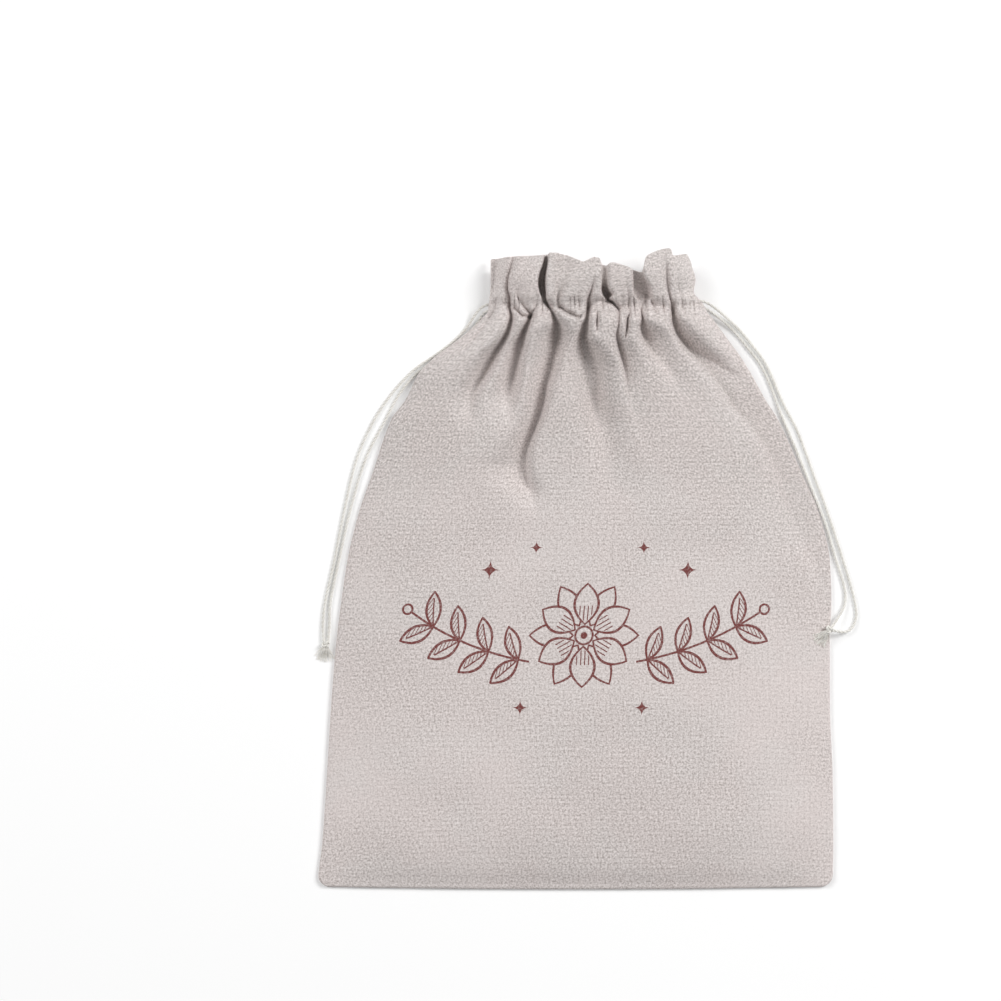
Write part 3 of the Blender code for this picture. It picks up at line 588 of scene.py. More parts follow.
def foldDip(name, x, y):
    rows = folds[name]
    deep = readTable(rows, 2, y)
    off = x - readTable(rows, 1, y)
    wall = np.where(off < 0, readTable(rows, 3, y), readTable(rows, 4, y))
    left, right, above = foldShapes[name]
    below = np.where(off < 0, left, right)
    sharp = below + (above - below) * ease((y - 153.0) / 6.0)
    soft = frontSettings["crispness"]
    away = np.sqrt((off / wall) ** 2 + soft * soft)
    return deep * np.exp(-(away ** sharp - soft ** sharp))


def pinchDip(x, y):
    across, height, half, deep = (np.array(column) for column in zip(*pinch))
    off = (y - np.interp(x, across, height)) / np.interp(x, across, half)
    return np.interp(x, across, deep) * np.exp(-np.abs(off) ** 1.7)


def puckerDip(x, y):
    total = np.zeros_like(x)
    for startX, startY, endX, endY, deep in puckers:
        runX, runY = endX - startX, endY - startY
        t = np.clip(((x - startX) * runX + (y - startY) * runY) / (runX ** 2 + runY ** 2), 0.0, 1.0)
        off = np.hypot(x - startX - t * runX, y - startY - t * runY)
        total = total + deep * np.exp(-(off / frontSettings["puckerWidth"]) ** 1.6)
    return total


def bandDip(x, y, settings):
    off = y - settings["height"]
    groove = settings["groove"] * np.exp(-np.abs(off / settings["half"]) ** 2.5)
    place = x / settings["pitch"] + 0.42 * np.sin(x / 5.3 + 1.0) + 0.25 * np.sin(x / 2.7 + off / 7.0)
    creases = np.exp(-(np.abs(np.sin(math.pi * place)) / settings["narrow"]) ** 1.5)
    deep = settings["crease"] * (0.6 + 0.4 * np.sin(x * 0.37 + 2.0))
    return groove + deep * creases * np.exp(-(off / settings["reach"]) ** 4)


def frontSurface(x, y):      # height of the front's outer face
    left, right = seams(y)
    share = np.clip((x - left) / (right - left), 0.0, 1.0)
    side = np.abs(2.0 * share - 1.0)
    arch = 1.0 - side ** readTable(rise, 3, y)
    slit = ease(1.6 - np.abs(y - bagSettings["channel"]) / bagSettings["casingHalf"])
    base = readTable(rise, 2, y) + bagSettings["frontGap"] + bagSettings["casingOpen"] * slit
    height = base + (readTable(rise, 1, y) - base) * arch
    power = frontSettings["blend"]
    dip = sum(foldDip(name, x, y) ** power for name in folds) ** (1.0 / power)
    inChannel = y > 138.0
    dip = dip + np.where(inChannel, frontSettings["pinchShare"] * pinchDip(x, y)
                         + frontSettings["puckerShare"] * puckerDip(x, y)
                         + bandDip(x, y, drawnBand), 0.0)
    level = frontSettings["floorLevel"] * ease((y - frontSettings["floorStart"])
                                               / frontSettings["floorSpan"])
    low = np.minimum(height, np.maximum(level, base + frontSettings["leastRise"]))
    inside = np.minimum(x - left, right - x)
    calm = ease((inside - 3.0) / 16.0) * ease((y - bagSettings["bottom"] - 3.0) / 20.0)
    uneven = waves(x, y, frontSettings["seed"], 9, *frontSettings["unevenSizes"])
    return np.maximum(height - dip, low) + bagSettings["frontOut"] + (
        frontSettings["unevenness"] * uneven * calm)


def anchorShare(name, y):      # where a fold's bottom lies, as a share of the width
    rows = folds[name]
    held = np.clip(y, rows[0][0], rows[-1][0])
    left, right = seams(held)
    return (readTable(rows, 1, held) - left) / (right - left)


def rowLevels():
    levels, starts = [], frontSettings["rows"]
    ends = [start for start, _ in starts[1:]] + [bagSettings["channelTop"]]
    for (start, count), end in zip(starts, ends):
        steps = np.arange(count) / count
        if start == bagSettings["bottom"]:
            steps = steps ** 1.9      # finer at the bottom seam, which is rounded
        levels += [(start + (end - start) * t, 0.0) for t in steps]
    count = frontSettings["headingRows"]
    levels += [(bagSettings["channelTop"], 1.0 - (1.0 - t / count) ** 1.25)
               for t in range(count + 1)]
    return levels


def levelHeights(x, y, share):      # one level's heights across, its heading part under the wavy hem
    across, edge = (np.array(column) for column in zip(*headingEdge))
    return y + share * (np.interp(x, across, edge) - y)


def frontPoints():
    levels, total = rowLevels(), frontSettings["columns"]
    rows = []

    def sampleRow(y, share):
        meanY = y + share * (bagSettings["headingTop"] - y)
        left, right = (float(v) for v in seams(meanY))
        x = np.linspace(left, right, frontSettings["samples"])
        ys = levelHeights(x, y, share)
        inside = np.minimum(x - left, right - x)
        nearest = inside if share > 0.0 else np.minimum(inside, y - bagSettings["bottom"])
        z = frontSurface(x, ys) - roundedEdge(nearest, frontSettings["edgeRadius"])
        near = 1.0 + 1.5 * np.exp(-inside / 1.5)      # more columns where the seam is rounded
        length = np.concatenate([[0.0], np.cumsum(np.hypot(np.diff(x), np.diff(z)) * near[1:])])
        ys = ys + bottomBow(2.0 * (x - left) / (right - left) - 1.0, y)
        return meanY, left, right, x, ys, z, length

    def anchorsOf(meanY, left, right, x, length, even):
        rest = ease((bagSettings["channel"] - meanY - frontSettings["foldsEnd"])
                    / frontSettings["restSpan"])
        spots = [0.0]
        for k, name in enumerate(anchorFolds):
            share = float(anchorShare(name, meanY))
            if even is not None:
                share = share * (1.0 - rest) + even[k] * rest
            spots.append(np.interp(left + share * (right - left), x, length))
        return spots + [length[-1]]

    meanY, left, right, x, _, _, length = sampleRow(frontSettings["countAt"], 0.0)
    spots = np.array(anchorsOf(meanY, left, right, x, length, None))
    marks = np.round(spots / spots[-1] * total).astype(int)
    even = marks[1:-1] / total
    for y, share in levels:
        meanY, left, right, x, ys, z, length = sampleRow(y, share)
        spots = anchorsOf(meanY, left, right, x, length, even)
        at = np.interp(np.arange(total + 1), marks, spots)
        rows.append(np.stack([np.interp(at, length, values) for values in (x, ys, z)], 1))
    return np.array(rows), levels, marks[1:-1]


def clothAcross(outer, levels, marks, settings):
    # places across the flat cloth: what shows keeps its thread pitch, and the rest is in the folds
    columns = np.arange(outer.shape[1])
    rows = []
    for (y, share), row in zip(levels, outer):
        meanY = y + share * (bagSettings["headingTop"] - y)
        steps = np.hypot(np.diff(row[:, 0]), np.diff(row[:, 2]))
        along = np.concatenate([[0.0], np.cumsum(steps)])
        drawn = settings["takeUp"] * ease((meanY - settings["takeUpStart"])
                                          / settings["takeUpSpan"])
        hidden = np.array([drawn * float(readTable(folds[name], 2, meanY))
                           for name in anchorFolds])
        spare = 0.9 * max(0.0, bagSettings["cutWidth"] - along[-1])
        hidden *= min(1.0, spare / max(hidden.sum(), 1e-6))
        flat = along * (bagSettings["cutWidth"] - hidden.sum()) / along[-1]
        for mark, amount in zip(marks, hidden):
            flat = flat + amount * ease((columns - mark) / settings["takeUpColumns"] + 0.5)
        rows.append(flat)
    return np.array(rows)


def gridNormals(points):
    across = np.gradient(points, axis=1)
    up = np.gradient(points, axis=0)
    normal = np.cross(across, up)
    return normal / np.maximum(np.linalg.norm(normal, axis=2), 1e-9)[:, :, None]


def clothMesh(name, outer, inner, coarse, cloth):
    # one closed sheet: a fine outer face, a plainer inner face, and the cut edge between them
    rows, columns = outer.shape[0] - 1, outer.shape[1] - 1
    inner = inner[::coarse, ::coarse]
    innerRows, innerColumns = inner.shape[0] - 1, inner.shape[1] - 1
    count = outer.shape[0] * outer.shape[1]

    def o(r, c): return r * (columns + 1) + c
    def i(r, c): return count + r * (innerColumns + 1) + c

    faces = [(o(r, c), o(r, c + 1), o(r + 1, c + 1), o(r + 1, c))
             for r in range(rows) for c in range(columns)]
    outerFaces = len(faces)
    faces += [(i(r, c), i(r + 1, c), i(r + 1, c + 1), i(r, c + 1))
              for r in range(innerRows) for c in range(innerColumns)]
    for c in range(innerColumns):
        faces.append([i(0, c), i(0, c + 1)] + [o(0, c * coarse + k) for k in range(coarse, -1, -1)])
        faces.append([i(innerRows, c + 1), i(innerRows, c)]
                     + [o(rows, c * coarse + k) for k in range(coarse + 1)])
    for r in range(innerRows):
        faces.append([i(r + 1, 0), i(r, 0)] + [o(r * coarse + k, 0) for k in range(coarse + 1)])
        faces.append([i(r, innerColumns), i(r + 1, innerColumns)]
                     + [o(r * coarse + k, columns) for k in range(coarse, -1, -1)])
    points = np.concatenate([outer.reshape(-1, 3), inner.reshape(-1, 3)]) * mm
    mesh = bpy.data.meshes.new(name)
    mesh.from_pydata(points.tolist(), [], faces)
    flat = np.concatenate([cloth.reshape(-1, 2), cloth[::coarse, ::coarse].reshape(-1, 2)]) * mm
    layer = mesh.uv_layers.new(name="cloth")
    corners = np.empty(len(mesh.loops), np.int32)
    mesh.loops.foreach_get("vertex_index", corners)
    layer.data.foreach_set("uv", flat[corners].astype(np.float32).ravel())
    inside = np.zeros(len(faces), np.int32)
    inside[outerFaces:outerFaces + innerRows * innerColumns] = 1
    mesh.polygons.foreach_set("material_index", inside)
    mesh.shade_smooth()
    return mesh


def makeFront(settings, outside, inside):
    outer, levels, marks = frontPoints()
    normals = gridNormals(outer)
    top = bagSettings["headingTop"]
    hem = np.array([(top - y) * (1.0 - share) if share > 0 else settings["farFromHem"]
                    for y, share in levels])
    outer = outer - normals * roundedEdge(hem, settings["hemRadius"])[:, None, None]
    inner = outer - normals * settings["thickness"]
    cloth = np.zeros(outer.shape[:2] + (2,))
    cloth[:, :, 0] = clothAcross(outer, levels, marks, settings)
    cloth[:, :, 1] = outer[:, :, 1] - bagSettings["cutBottom"]
    mesh = clothMesh("frontCloth", outer, inner, 2, cloth)
    mesh.set_sharp_from_angle(angle=math.radians(settings["sharpAngle"]))
    return makeObject("frontCloth", mesh, outside, inside), outer, normals


backSettings = {
    "columns": 200,
    "rows": [(-185.0, 8), (-176.0, 44), (80.0, 44)],
    "headingRows": 16,
    "heading": 0.75,
    "thickness": 0.8,
    "edgeRadius": 1.05,
    "pleats": 10, "pleatHeight": 3.0, "pleatStart": 85.0,
    "wander": 0.012, "wanderTurns": 3.0, "wanderHeight": 90.0,
    "clear": 0.05,
}


def backPoints(settings):
    starts = settings["rows"]
    ends = [start for start, _ in starts[1:]] + [bagSettings["channelTop"]]
    levels = []
    for (start, count), end in zip(starts, ends):
        steps = np.arange(count) / count
        if start == bagSettings["bottom"]:
            steps = steps ** 1.9
        levels += [(start + (end - start) * t, 0.0) for t in steps]
    count = settings["headingRows"]
    levels += [(bagSettings["channelTop"], t / count * settings["heading"])
               for t in range(count + 1)]
    rows = []
    for y, share in levels:
        meanY = y + share * (bagSettings["headingTop"] - y)
        left, right = (float(v) for v in seams(meanY))
        across = np.linspace(0.0, 1.0, settings["columns"] + 1)
        x = left + (right - left) * across
        side = np.abs(2.0 * across - 1.0)
        drawn = ease((meanY - settings["pleatStart"]) / (bagSettings["channel"]
                                                         - settings["pleatStart"]))
        turns = across * settings["wanderTurns"] + meanY / settings["wanderHeight"]
        wander = across + settings["wander"] * np.sin(2 * math.pi * turns)
        pleat = (0.5 - 0.5 * np.cos(2 * math.pi * settings["pleats"] * wander)) ** 0.8
        uneven = 0.75 + 0.25 * np.sin(across * 23.0 + 1.0)
        z = settings["pleatHeight"] * pleat * uneven * (1.0 - side ** 8) * drawn
        z = z + float(readTable(rise, 2, meanY)) * side ** 4 + settings["clear"]
        inside = np.minimum(x - left, right - x)
        nearest = inside if share > 0.0 else np.minimum(inside, y - bagSettings["bottom"])
        z = z + roundedEdge(nearest, settings["edgeRadius"])
        ys = levelHeights(x, y, share) + bottomBow(2.0 * across - 1.0, y)
        rows.append(np.stack([x, ys, z], 1))
    return np.array(rows)


def makeBack(settings, outside, inside):
    outer = backPoints(settings)
    normals = gridNormals(outer)
    inner = outer + normals * settings["thickness"]
    cloth = np.zeros(outer.shape[:2] + (2,))
    cloth[:, :, 0] = outer[:, :, 0] + bagSettings["cutWidth"] / 2
    cloth[:, :, 1] = outer[:, :, 1] - bagSettings["cutBottom"]
    # seen from below, so the columns run the other way and the faces point down
    mesh = clothMesh("backCloth", outer[:, ::-1], inner[:, ::-1], 2, cloth)
    return makeObject("backCloth", mesh, outside, inside), outer, -normals


# Linen: threads that go over and under each other, with painted shade between them and a painted
# highlight on their tops, slubs and soft patches, on the cloth's own flat lengths in metres,
# with a printed flower between two leafy sprigs on the front

linenSettings = {
    "colour": (0.755, 0.680, 0.660),
    "holeShade": (0.165, 0.132, 0.116),       # painted shade between the threads
    "crownHighlight": (0.985, 0.925, 0.905),      # painted highlight where a thread lies on top
    "cool": (0.742, 0.708, 0.690),       # greyer patches
    "thread": 0.00072,                   # metres from a thread to the next
    "stray": 0.00030,                    # how far threads wander
    # how strongly the weave's height paints shade between the threads and highlight on their tops
    "weaveShading": 1.25,
    "threadTone": 0.20,
    "speck": 1.10,
    "slub": 0.07,
    "patch": 0.22,
    "bump": 0.22,
}
inkSettings = {      # millimetres on the flat cloth, from the print's middle
    "colour": (0.185, 0.052, 0.048),
    "middle": (150.0, 160.0),
    "line": 0.80, "fineLine": 0.46,
    "garlandRadius": 190.0, "garlandMiddle": 164.0, "garlandStart": 36.0, "garlandEnd": 111.0,
    "leafPitch": 18.6, "leafLength": 20.5, "leafWidth": 4.4,
    "flower": (0.0, -8.0), "petals": 6, "petalFrom": 6.5, "petalTo": 30.0, "petalWidth": 7.2,
    "stars": [(-60.0, 30.0, 6.5), (-33.0, 43.0, 4.5), (33.0, 43.0, 4.5), (60.0, 30.0, 6.5),
              (-36.0, -50.0, 5.2), (36.0, -50.0, 5.2)],
}


def leafShape(along, across, length, width):      # below zero inside a pointed leaf
    return abs(across) + (along * (2.0 / length)) ** 2.0 * width - width


def printMask(u, v, settings):
    line, fine = settings["line"], settings["fineLine"]
    x = u * 1000.0 - settings["middle"][0]
    y = v * 1000.0 - settings["middle"][1]

    def stroke(distance, half):
        return 1.0 - abs(distance).fade(half - 0.12, half + 0.12)

    def within(value, low, high):
        return value.fade(low - 0.1, low + 0.1) * (1.0 - value.fade(high - 0.1, high + 0.1))

    # the garland: places along and across its arc
    down = settings["garlandMiddle"] - y
    run = x.math("ARCTAN2", x, down) * settings["garlandRadius"]
    off = (x * x + down * down) ** 0.5 - settings["garlandRadius"]
    run, out = abs(run), abs(off)
    start, end = settings["garlandStart"], settings["garlandEnd"]
    onStem = within(run, start - 4.0, end)
    marks = stroke(off, line * 0.8) * onStem
    step = (run - start).modulo(settings["leafPitch"]) - 2.8
    along = step * 0.57 + out * 0.82 - settings["leafLength"] / 2
    across = step * 0.82 - out * 0.57
    leaf = leafShape(along, across, settings["leafLength"], settings["leafWidth"])
    onLeaves = within(run, start, end - 0.5) * within(along, -settings["leafLength"] / 2 - 0.6,
                                                      settings["leafLength"] / 2 + 0.6)
    inLeaf = 1.0 - leaf.fade(-0.9, -0.5)
    veins = stroke((along + across * 1.3).modulo(2.8) - 1.4, fine * 0.8) * across.fade(0.1, 0.4)
    rib = stroke(across, fine) * within(along, -settings["leafLength"] / 2, 6.5)
    marks = marks.high(onLeaves * stroke(leaf, line).high(inLeaf * veins.high(rib)))
    berryX, berryY = run - (end + 2.9), off
    berry = (berryX * berryX + berryY * berryY) ** 0.5 - 2.8
    marks = marks.high(stroke(berry, line * 0.8))

    # the flower: two rings of petals round a ringed eye
    fx, fy = x - settings["flower"][0], y - settings["flower"][1]
    far = (fx * fx + fy * fy) ** 0.5
    turn = x.math("ARCTAN2", fy, fx)
    cell = 2 * math.pi / settings["petals"]
    length = settings["petalTo"] - settings["petalFrom"]
    middle = (settings["petalTo"] + settings["petalFrom"]) / 2

    def petals(turned, wide, longer):
        part = (turn + turned).modulo(cell) - cell / 2
        forward, sideways = far * part.cos() - middle - longer / 2, far * part.sin()
        return leafShape(forward, sideways, length + longer, wide), forward, sideways

    front, forward, sideways = petals(0.0, settings["petalWidth"], 0.0)
    back, _, _ = petals(cell / 2, settings["petalWidth"] * 0.9, 2.5)
    inFront = 1.0 - front.fade(-0.1, 0.1)
    streaks = stroke(sideways.modulo(2.4) - 1.2, fine * 0.75) * within(forward, -10.0, -1.0)
    flower = stroke(front, line).high(stroke(back, line * 0.9) * (1.0 - inFront))
    flower = flower.high(inFront * streaks * (1.0 - front.fade(-1.6, -1.0)))
    flower = flower * far.fade(5.8, 6.2)
    eye = stroke(far - 5.2, line * 0.8).high(1.0 - far.fade(1.9, 2.2))
    marks = marks.high(flower).high(eye)
    for starX, starY, reach in settings["stars"]:
        tips = abs(x - starX) ** 0.5 + abs(y - starY) ** 0.5
        marks = marks.high(1.0 - tips.fade(reach ** 0.5 - 0.06, reach ** 0.5 + 0.06))
    return marks


def linenFinish(name, settings, printed):
    finish, wire, shader = newFinish(name, 0.95, settings["colour"])
    flatU, flatV, _ = wire.add("ShaderNodeUVMap", {"uv_map": "cloth"}).split()
    drift = wire.add("ShaderNodeTexNoise", {"noise_dimensions": "3D"}, {
        "Vector": wire.join(flatU, flatV, 0.3), "Scale": 150.0, "Detail": 2.0}, out=1)
    driftU, driftV, _ = drift.split()
    u = flatU + (driftU - 0.5) * (2.0 * settings["stray"])
    v = flatV + (driftV - 0.5) * (2.0 * settings["stray"])
    pitch = settings["thread"]
    acrossU, acrossV = (u * (math.pi / pitch)).cos(), (v * (math.pi / pitch)).cos()
    over = acrossU * acrossV
    warp = abs(acrossU) ** 0.7 * (over * 0.45 + 0.55)
    weft = abs(acrossV) ** 0.7 * (0.55 - over * 0.45)
    height = warp.high(weft)
    warpTone = noise(wire, wire.join(u * (1.0 / pitch), v * 260.0, 1.0), 1.0, 1.0)
    weftTone = noise(wire, wire.join(u * 260.0, v * (1.0 / pitch), 5.0), 1.0, 1.0)
    slubWarp = noise(wire, wire.join(u * 800.0, v * 40.0, 9.0), 1.0, 1.0).fade(0.64, 0.78)
    slubWeft = noise(wire, wire.join(u * 40.0, v * 800.0, 13.0), 1.0, 1.0).fade(0.64, 0.78)
    speck = noise(wire, wire.join(u, v, 0.7), 900.0, 2.0)
    patch = noise(wire, wire.join(flatU, flatV, 0.1), 26.0, 4.0, 0.6)
    grain = noise(wire, wire.join(flatU, flatV, 0.6), 14.0, 1.0).fade(0.3, 0.7) * 0.5 + flatV.fade(
        0.12, 0.30) * 0.5 + 0.65
    # the weave's height paints shade into the holes and a highlight onto the thread tops, mixed with
    # the threads' random tone, specks and slubs
    toneAndWeaveShade = (((height - 0.62) * settings["weaveShading"] + (speck - 0.5) * settings["speck"]
             + (warpTone + weftTone - 1.0) * settings["threadTone"]) * grain
            + (slubWeft - slubWarp) * settings["slub"] + 0.52).clip()
    ramp = wire.add("ShaderNodeValToRGB", {"stops": [
        (0.0, (*settings["holeShade"], 1.0)), (0.5, (*settings["colour"], 1.0)),
        (1.0, (*settings["crownHighlight"], 1.0))]}, {0: toneAndWeaveShade})
    cool = wire.add("ShaderNodeMix", {"data_type": "RGBA", "blend_type": "MULTIPLY"}, {
        0: patch.fade(0.42, 0.62) * settings["patch"], 6: ramp,
        7: tuple(c / d for c, d in zip(settings["cool"], settings["colour"])) + (1.0,)}, out=2)
    colour = cool
    if printed:
        ink = printMask(flatU, flatV, inkSettings)
        worn = noise(wire, wire.join(flatU, flatV, 0.9), 700.0, 2.0).fade(0.30, 0.62) * 0.30 + 0.66
        cover = (ink * (worn + height * 0.16)).clip()
        colour = wire.add("ShaderNodeMix", {"data_type": "RGBA"}, {
            0: cover, 6: cool, 7: (*inkSettings["colour"], 1.0)}, out=2)
    wire.tree.links.new(colour.socket, shader.inputs["Base Color"])
    bump = wire.add("ShaderNodeBump", None, {
        "Strength": settings["bump"], "Distance": 0.00025,
        "Height": height + (warpTone + weftTone) * 0.5 + slubWeft * 0.4})
    wire.tree.links.new(bump.socket, shader.inputs["Normal"])
    shader.inputs["Sheen Weight"].default_value = 0.08
    return finish


linenFront = linenFinish("linenFront", linenSettings, True)
linenBack = linenFinish("linenBack", linenSettings, False)
frontCloth, frontGrid, frontNormals = makeFront(frontSettings, linenFront, linenBack)
print("front cloth made", len(frontCloth.data.polygons), "faces")
backCloth, backGrid, backNormals = makeBack(backSettings, linenBack, linenBack)
print("back cloth made", len(backCloth.data.polygons), "faces")

# Geometry Nodes: a tree's inputs are named, and set by their identifiers

def newTree(name, inputs):
    tree = bpy.data.node_groups.new(name, "GeometryNodeTree")
    tree.interface.new_socket("Geometry", in_out="INPUT", socket_type="NodeSocketGeometry")
    for label, kind in inputs.items():
        tree.interface.new_socket(label, in_out="INPUT", socket_type="NodeSocket" + kind)
    tree.interface.new_socket("Geometry", in_out="OUTPUT", socket_type="NodeSocketGeometry")
    source = tree.nodes.new("NodeGroupInput")
    wires = {socket.name: Wire(tree, socket) for socket in source.outputs if socket.name}
    return tree, Wire(tree), wires


def endTree(tree, geometry, finish):
    done = geometry.add("GeometryNodeRealizeInstances", None, {0: geometry})
    done = done.add("GeometryNodeSetMaterial", None, {"Geometry": done, "Material": finish})
    target = tree.nodes.new("NodeGroupOutput")
    tree.links.new(done.socket, target.inputs[0])


def grow(name, base, tree, values):      # runs a tree on an object and keeps the plain mesh
    modifier = base.modifiers.new("grow", "NODES")
    modifier.node_group = tree
    for item in tree.interface.items_tree:
        if item.item_type == "SOCKET" and item.in_out == "INPUT" and item.name in values:
            modifier[item.identifier] = values[item.name]
    graph = bpy.context.evaluated_depsgraph_get()
    mesh = bpy.data.meshes.new_from_object(base.evaluated_get(graph))
    mesh.name = name
    bpy.data.objects.remove(base)
    return mesh


def anchorObject(name, points=(), edges=(), facing=None):
    mesh = bpy.data.meshes.new(name)
    mesh.from_pydata([tuple(p) for p in points], list(edges), [])
    if facing is not None:
        layer = mesh.attributes.new("facing", "FLOAT_VECTOR", "POINT")
        layer.data.foreach_set("vector", np.array(facing, np.float32).ravel())
    made = bpy.data.objects.new(name, mesh)
    bpy.context.scene.collection.objects.link(made)
    return made


# Frayed ends: a fan of loose fibres that start in the knot and rest on what lies below

frayInputs = {"Fibres": "Int", "Length": "Float", "Start": "Vector", "Fan": "Float",
              "Spread": "Float", "Fibre radius": "Float", "Waviness": "Float", "Seed": "Int",
              "Below": "Object"}
fraySettings = {"Fibres": 64, "Fibre radius": 0.00014, "Waviness": 0.0011}


def frayTree(finish):
    tree, wire, given = newTree("frayedEnd", frayInputs)

    def randomValue(low, high, extra):
        return wire.add("FunctionNodeRandomValue", {"data_type": "FLOAT"},
                        {2: low, 3: high, "Seed": given["Seed"] + extra}, out=1)

    line = wire.add("GeometryNodeCurvePrimitiveLine", None, {"End": (1.0, 0.0, 0.0)})
    line = wire.add("GeometryNodeResampleCurve", None, {"Curve": line, "Count": 9})
    spots = wire.add("GeometryNodePoints", None, {"Count": given["Fibres"],
                                                  "Position": given["Start"]})
    turn = given["Fan"] + given["Spread"] * (randomValue(-0.5, 0.5, 1) + randomValue(-0.22, 0.22, 2))
    tilt = randomValue(-0.28, 0.12, 3)
    size = given["Length"] * (1.0 - randomValue(0.0, 0.75, 4) ** 2.0)
    fan = wire.add("GeometryNodeInstanceOnPoints", None, {
        "Points": spots, "Instance": line, "Rotation": wire.join(0.0, tilt, turn),
        "Scale": wire.join(size, size, size)})
    fan = wire.add("GeometryNodeRealizeInstances", None, {0: fan})
    along = wire.add("GeometryNodeSplineParameter")
    place = wire.add("GeometryNodeInputPosition")
    strand = wire.add("GeometryNodeCurveOfPoint")
    shift = wire.add("ShaderNodeTexNoise", {"noise_dimensions": "4D"}, {
        "Vector": place, "W": strand * 0.37, "Scale": 320.0, "Detail": 1.0}, out=1)
    shift = wire.add("ShaderNodeVectorMath", {"operation": "SUBTRACT"}, {0: shift, 1: (0.5, 0.5, 0.5)})
    shift = wire.add("ShaderNodeVectorMath", {"operation": "SCALE"}, {
        0: shift, "Scale": given["Waviness"] * along * 2.0})
    fan = wire.add("GeometryNodeSetPosition", None, {"Geometry": fan, "Offset": shift})
    x, y, z = wire.add("GeometryNodeInputPosition").split()
    below = wire.add("GeometryNodeObjectInfo", {"transform_space": "RELATIVE"},
                     {"Object": given["Below"]}, out=4)
    hit = wire.add("GeometryNodeRaycast", None, {
        "Target Geometry": below, "Source Position": wire.join(x, y, 0.05),
        "Ray Direction": (0.0, 0.0, -1.0), "Ray Length": 0.2})
    _, _, floorZ = hit.other(1).split()
    rest = (floorZ * hit).high(0.0) + given["Fibre radius"] * 1.5
    rest = rest + randomValue(0.0, 0.0009, 6) * (1.0 - along)
    # the fibres sink towards what they lie on along their length
    sunk = rest + (z - rest).high(0.0) * (1.0 - along.fade(0.15, 0.9) * 0.9)
    fan = wire.add("GeometryNodeSetPosition", None, {"Geometry": fan,
                                                     "Position": wire.join(x, y, sunk.high(rest))})
    fan = wire.add("GeometryNodeSetCurveRadius", None, {"Curve": fan, "Radius": 1.0 - along * 0.45})
    ring = wire.add("GeometryNodeCurvePrimitiveCircle", None, {"Resolution": 4,
                                                               "Radius": given["Fibre radius"]})
    tubes = wire.add("GeometryNodeCurveToMesh", None, {"Curve": fan, "Profile Curve": ring,
                                                       "Fill Caps": True})
    endTree(tree, tubes, finish)
    return tree


fibre, fibreWire, fibreShader = newFinish("looseFibres", 0.9, (0.86, 0.84, 0.79))
fibrePlace = fibreWire.add("ShaderNodeTexCoord", out=3)
fibreTone = fibreWire.add("ShaderNodeMix", {"data_type": "RGBA"}, {
    0: noise(fibreWire, fibrePlace, 900.0, 2.0).fade(0.35, 0.7),
    6: (0.92, 0.905, 0.87, 1.0), 7: (0.84, 0.81, 0.75, 1.0)}, out=2)
fibreWire.tree.links.new(fibreTone.socket, fibreShader.inputs["Base Color"])

fray = frayTree(fibre)
knots = {}
for side, below in (("left", backCloth), ("right", frontCloth)):
    knot = knotSettings[side]
    head, core = makeKnotHead(side, knotSettings)
    values = dict(fraySettings)
    values.update({"Length": knot["length"], "Start": knot["centre"], "Seed": knot["seed"],
                   "Fan": math.radians(knot["fan"]), "Spread": math.radians(knot["spread"]),
                   "Below": below})
    tail = grow(side + "Tail", anchorObject(side + "Anchor"), fray, values)
    tail.materials.clear()
    for mesh in (head, core, tail):
        mesh.materials.append(cotton)
        mesh.materials.append(fibre)
    for face in tail.polygons:
        face.material_index = 1
    knots[side] = joinMeshes(side + "Knot", [head, core, tail], cotton, fibre)
    print(side, "knot made", len(knots[side].data.polygons), "faces")


# Stitches: two rows along the channel, the thread lying on the cloth

stitchInputs = {"Pitch": "Float", "Length": "Float", "Thread radius": "Float"}
stitchSettings = {"Pitch": 0.0030, "Length": 0.0021, "Thread radius": 0.00017}
stitchRows = {"heights": (146.5, 158.5), "lift": 0.03, "seamMargin": 6}


def stitchTree(finish):
    tree, wire, given = newTree("stitchRow", stitchInputs)
    line = wire.add("GeometryNodeMeshToCurve", None, {"Mesh": given["Geometry"]})
    spots = wire.add("GeometryNodeResampleCurve", {"mode": "LENGTH"},
                     {"Curve": line, "Length": given["Pitch"]})
    ahead = wire.add("GeometryNodeInputTangent")
    facing = wire.add("GeometryNodeInputNamedAttribute", {"data_type": "FLOAT_VECTOR"},
                      {"Name": "facing"})
    turn = wire.add("FunctionNodeAlignRotationToVector", {"axis": "X"}, {"Vector": ahead})
    turn = wire.add("FunctionNodeAlignRotationToVector", {"axis": "Z", "pivot_axis": "X"},
                    {"Rotation": turn, "Vector": facing})
    bead = wire.add("GeometryNodeMeshUVSphere", None, {"Segments": 8, "Rings": 6, "Radius": 1.0})
    bead = wire.add("GeometryNodeSetShadeSmooth", None, {"Geometry": bead})
    size = wire.join(given["Length"] * 0.5, given["Thread radius"], given["Thread radius"] * 0.8)
    row = wire.add("GeometryNodeInstanceOnPoints", None, {
        "Points": spots, "Instance": bead, "Rotation": turn, "Scale": size})
    endTree(tree, row, finish)
    return tree


def makeStitches(name, grid, normals, tree):
    points, edges, facing = [], [], []
    keep = slice(stitchRows["seamMargin"], grid.shape[1] - stitchRows["seamMargin"])
    middle = grid.shape[1] // 2
    for height in stitchRows["heights"]:
        row = int(np.argmin(np.abs(grid[:, middle, 1] - height)))
        line = (grid[row] + normals[row] * stitchRows["lift"])[keep] * mm
        edges += [(len(points) + k, len(points) + k + 1) for k in range(len(line) - 1)]
        points += line.tolist()
        facing += normals[row][keep].tolist()
    mesh = grow(name, anchorObject(name + "Anchor", points, edges, facing), tree, stitchSettings)
    return makeObject(name, mesh)


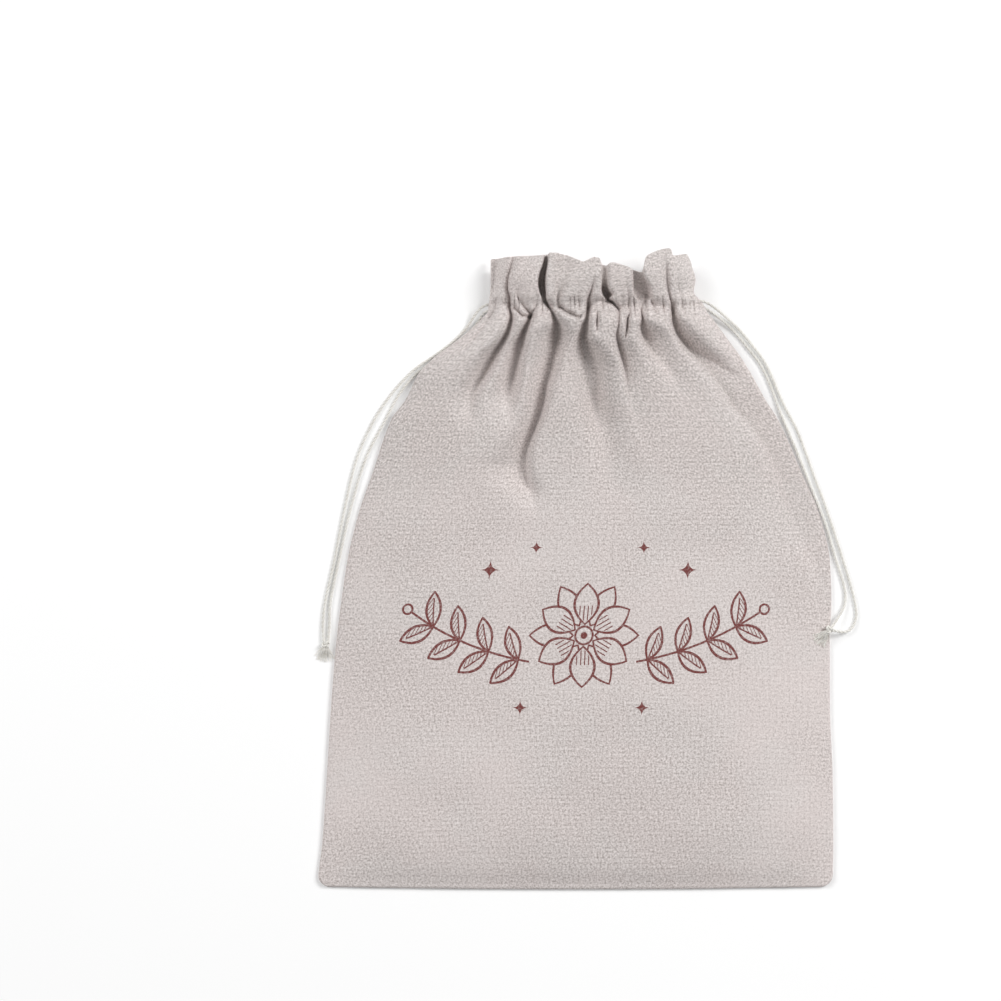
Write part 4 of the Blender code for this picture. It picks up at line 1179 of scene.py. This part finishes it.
thread, threadWire, threadShader = newFinish("sewingThread", 0.8, (0.80, 0.74, 0.71))
threadPlace = threadWire.add("ShaderNodeTexCoord", out=3)
threadTone = threadWire.add("ShaderNodeMix", {"data_type": "RGBA"}, {
    0: noise(threadWire, threadPlace, 1500.0, 2.0).fade(0.35, 0.7),
    6: (0.84, 0.78, 0.75, 1.0), 7: (0.62, 0.56, 0.53, 1.0)}, out=2)
threadWire.tree.links.new(threadTone.socket, threadShader.inputs["Base Color"])
stitching = stitchTree(thread)
frontStitches = makeStitches("frontStitches", frontGrid, frontNormals, stitching)
backStitches = makeStitches("backStitches", backGrid, backNormals, stitching)
print("stitches made", len(frontStitches.data.polygons), "faces")


# Floor and light

floorSettings = {"colour": (0.96, 0.96, 0.96), "glow": 0.085, "size": 8.0}
lightSettings = {
    "world": 0.34,
    "lamps": {"leftLamp": {"place": (-3.2, 1.6, 2.6), "size": 2.0, "power": 84.0},
              "rightLamp": {"place": (2.4, 1.4, 2.3), "size": 1.5, "power": 86.0}},
}


def makeFloor(settings):
    finish, wire, shader = newFinish("paleFloor", 0.8, settings["colour"])
    shader.inputs["Emission Color"].default_value = (1.0, 1.0, 1.0, 1.0)
    shader.inputs["Emission Strength"].default_value = settings["glow"]
    flat = bmesh.new()
    bmesh.ops.create_grid(flat, x_segments=1, y_segments=1, size=settings["size"] / 2)
    mesh = bpy.data.meshes.new("floor")
    flat.to_mesh(mesh)
    flat.free()
    floor = makeObject("floor", mesh, finish)


def makeLights(settings):
    world = bpy.data.worlds.new("studio")
    bpy.context.scene.world = world
    world.use_nodes = True
    backdrop = world.node_tree.nodes["Background"]
    backdrop.inputs["Color"].default_value = (1.0, 1.0, 1.0, 1.0)
    backdrop.inputs["Strength"].default_value = settings["world"]
    for name, given in settings["lamps"].items():
        data = bpy.data.lights.new(name, "AREA")
        data.size = given["size"]
        data.energy = given["power"]
        lamp = bpy.data.objects.new(name, data)
        lamp.location = given["place"]
        lamp.rotation_euler = (-Vector(given["place"])).to_track_quat("-Z", "Y").to_euler()
        bpy.context.scene.collection.objects.link(lamp)
    bpy.context.scene.view_settings.view_transform = "Standard"


makeFloor(floorSettings)
makeLights(lightSettings)
print("floor and lights made")


# Each piece hangs from the root body, and the solids it stands for are hidden

for piece in (frontCloth, backCloth, frontStitches, backStitches, knots["left"], knots["right"]):
    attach(piece, "root")
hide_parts("front_panel")
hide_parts("back_panel")
cordNodes = {"leftOuter": "left_cord_outer", "leftInner": "left_cord_inner",
             "rightInner": "right_cord_inner", "rightOuter": "right_cord_outer"}
for name, (cord, path, length) in cords.items():
    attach(cord, "root")
    knot = knots[name[:-5]]
    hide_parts(cordNodes[name])
for side, knot in knots.items():
    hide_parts(side + "_knot")
